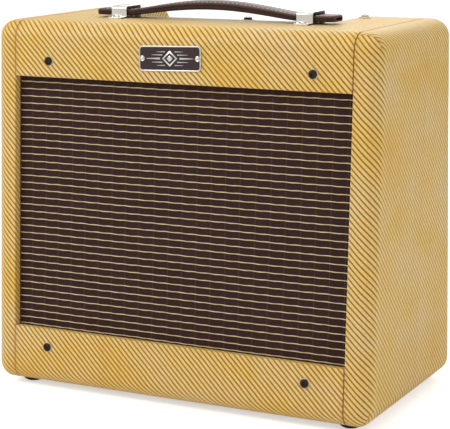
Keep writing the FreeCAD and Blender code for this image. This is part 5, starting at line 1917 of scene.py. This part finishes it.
# ---------------------------------------------------------------------------
# Floor, light, camera
# ---------------------------------------------------------------------------
# name, place, height of the point aimed at on the z axis, size (m), power (W)
LIGHTS = [
    ("key", (-1.15, -1.25, 1.45), 0.17, 0.9, 17.0),
    ("fill_right", (1.7, -0.7, 0.9), 0.17, 0.9, 5.6),
    ("top", (0.0, 0.15, 1.9), 0.2, 0.8, 7.5),
    ("back", (-0.4, 1.7, 1.1), 0.2, 1.3, 9),
]
CAMERA_PLACE = (0.659741, -1.290251, 0.442092)
CAMERA_YAW, CAMERA_PITCH, CAMERA_ROLL = (math.radians(a) for a in (27.029, 11.362, -0.386))
CAMERA_SENSOR, CAMERA_LENS = 36.0, 133.23768        # mm


def make_floor():
    bpy.ops.mesh.primitive_grid_add(x_subdivisions=8, y_subdivisions=8, size=60.0,
                                    location=(0, 0, -0.0002))
    floor = bpy.context.object
    floor.name = "floor"
    floor.data.materials.append(floor_material())
    return floor


def area_light(name, place, target_z, size, power):
    light = bpy.data.lights.new(name, "AREA")
    light.shape = "RECTANGLE"
    light.size = size
    light.size_y = size
    light.energy = power
    ob = bpy.data.objects.new(name, light)
    SCENE.collection.objects.link(ob)
    ob.location = place
    aim = Vector((0, 0, target_z)) - Vector(place)
    ob.rotation_euler = aim.to_track_quat("-Z", "Y").to_euler()
    return ob


def make_world():
    """White, dimmer as a light source than as seen by the camera."""
    world = bpy.data.worlds.new("studio")
    SCENE.world = world
    world.use_nodes = True
    tree = world.node_tree
    tree.nodes.clear()
    out = tree.nodes.new("ShaderNodeOutputWorld")
    path = tree.nodes.new("ShaderNodeLightPath")
    mixer = tree.nodes.new("ShaderNodeMixShader")
    tree.links.new(path.outputs["Is Camera Ray"], mixer.inputs[0])
    for index, strength in ((1, 0.52), (2, 1.0)):
        background = tree.nodes.new("ShaderNodeBackground")
        background.inputs["Color"].default_value = (1, 1, 1, 1)
        background.inputs["Strength"].default_value = strength
        tree.links.new(background.outputs[0], mixer.inputs[index])
    tree.links.new(mixer.outputs[0], out.inputs["Surface"])


def make_camera():
    data = bpy.data.cameras.new("camera")
    camera = bpy.data.objects.new("camera", data)
    SCENE.collection.objects.link(camera)
    data.sensor_fit = "HORIZONTAL"
    data.sensor_width = CAMERA_SENSOR
    data.lens = CAMERA_LENS
    data.clip_start, data.clip_end = 0.01, 100.0
    forward = Vector((-math.sin(CAMERA_YAW) * math.cos(CAMERA_PITCH),
                      math.cos(CAMERA_YAW) * math.cos(CAMERA_PITCH), -math.sin(CAMERA_PITCH)))
    level = forward.cross(Vector((0, 0, 1))).normalized()
    upright = level.cross(forward)
    c, s = math.cos(CAMERA_ROLL), math.sin(CAMERA_ROLL)
    right = level * c + upright * s
    up = -level * s + upright * c
    matrix = Matrix((right, up, -forward)).transposed().to_4x4()
    matrix.translation = Vector(CAMERA_PLACE)
    camera.matrix_world = matrix
    SCENE.camera = camera


stage_objects = [make_floor()]
stage_objects += [area_light(*row) for row in LIGHTS]
make_world()
SCENE.view_settings.view_transform = "Standard"
SCENE.view_settings.look = "None"
SCENE.view_settings.exposure = 0.0
make_camera()
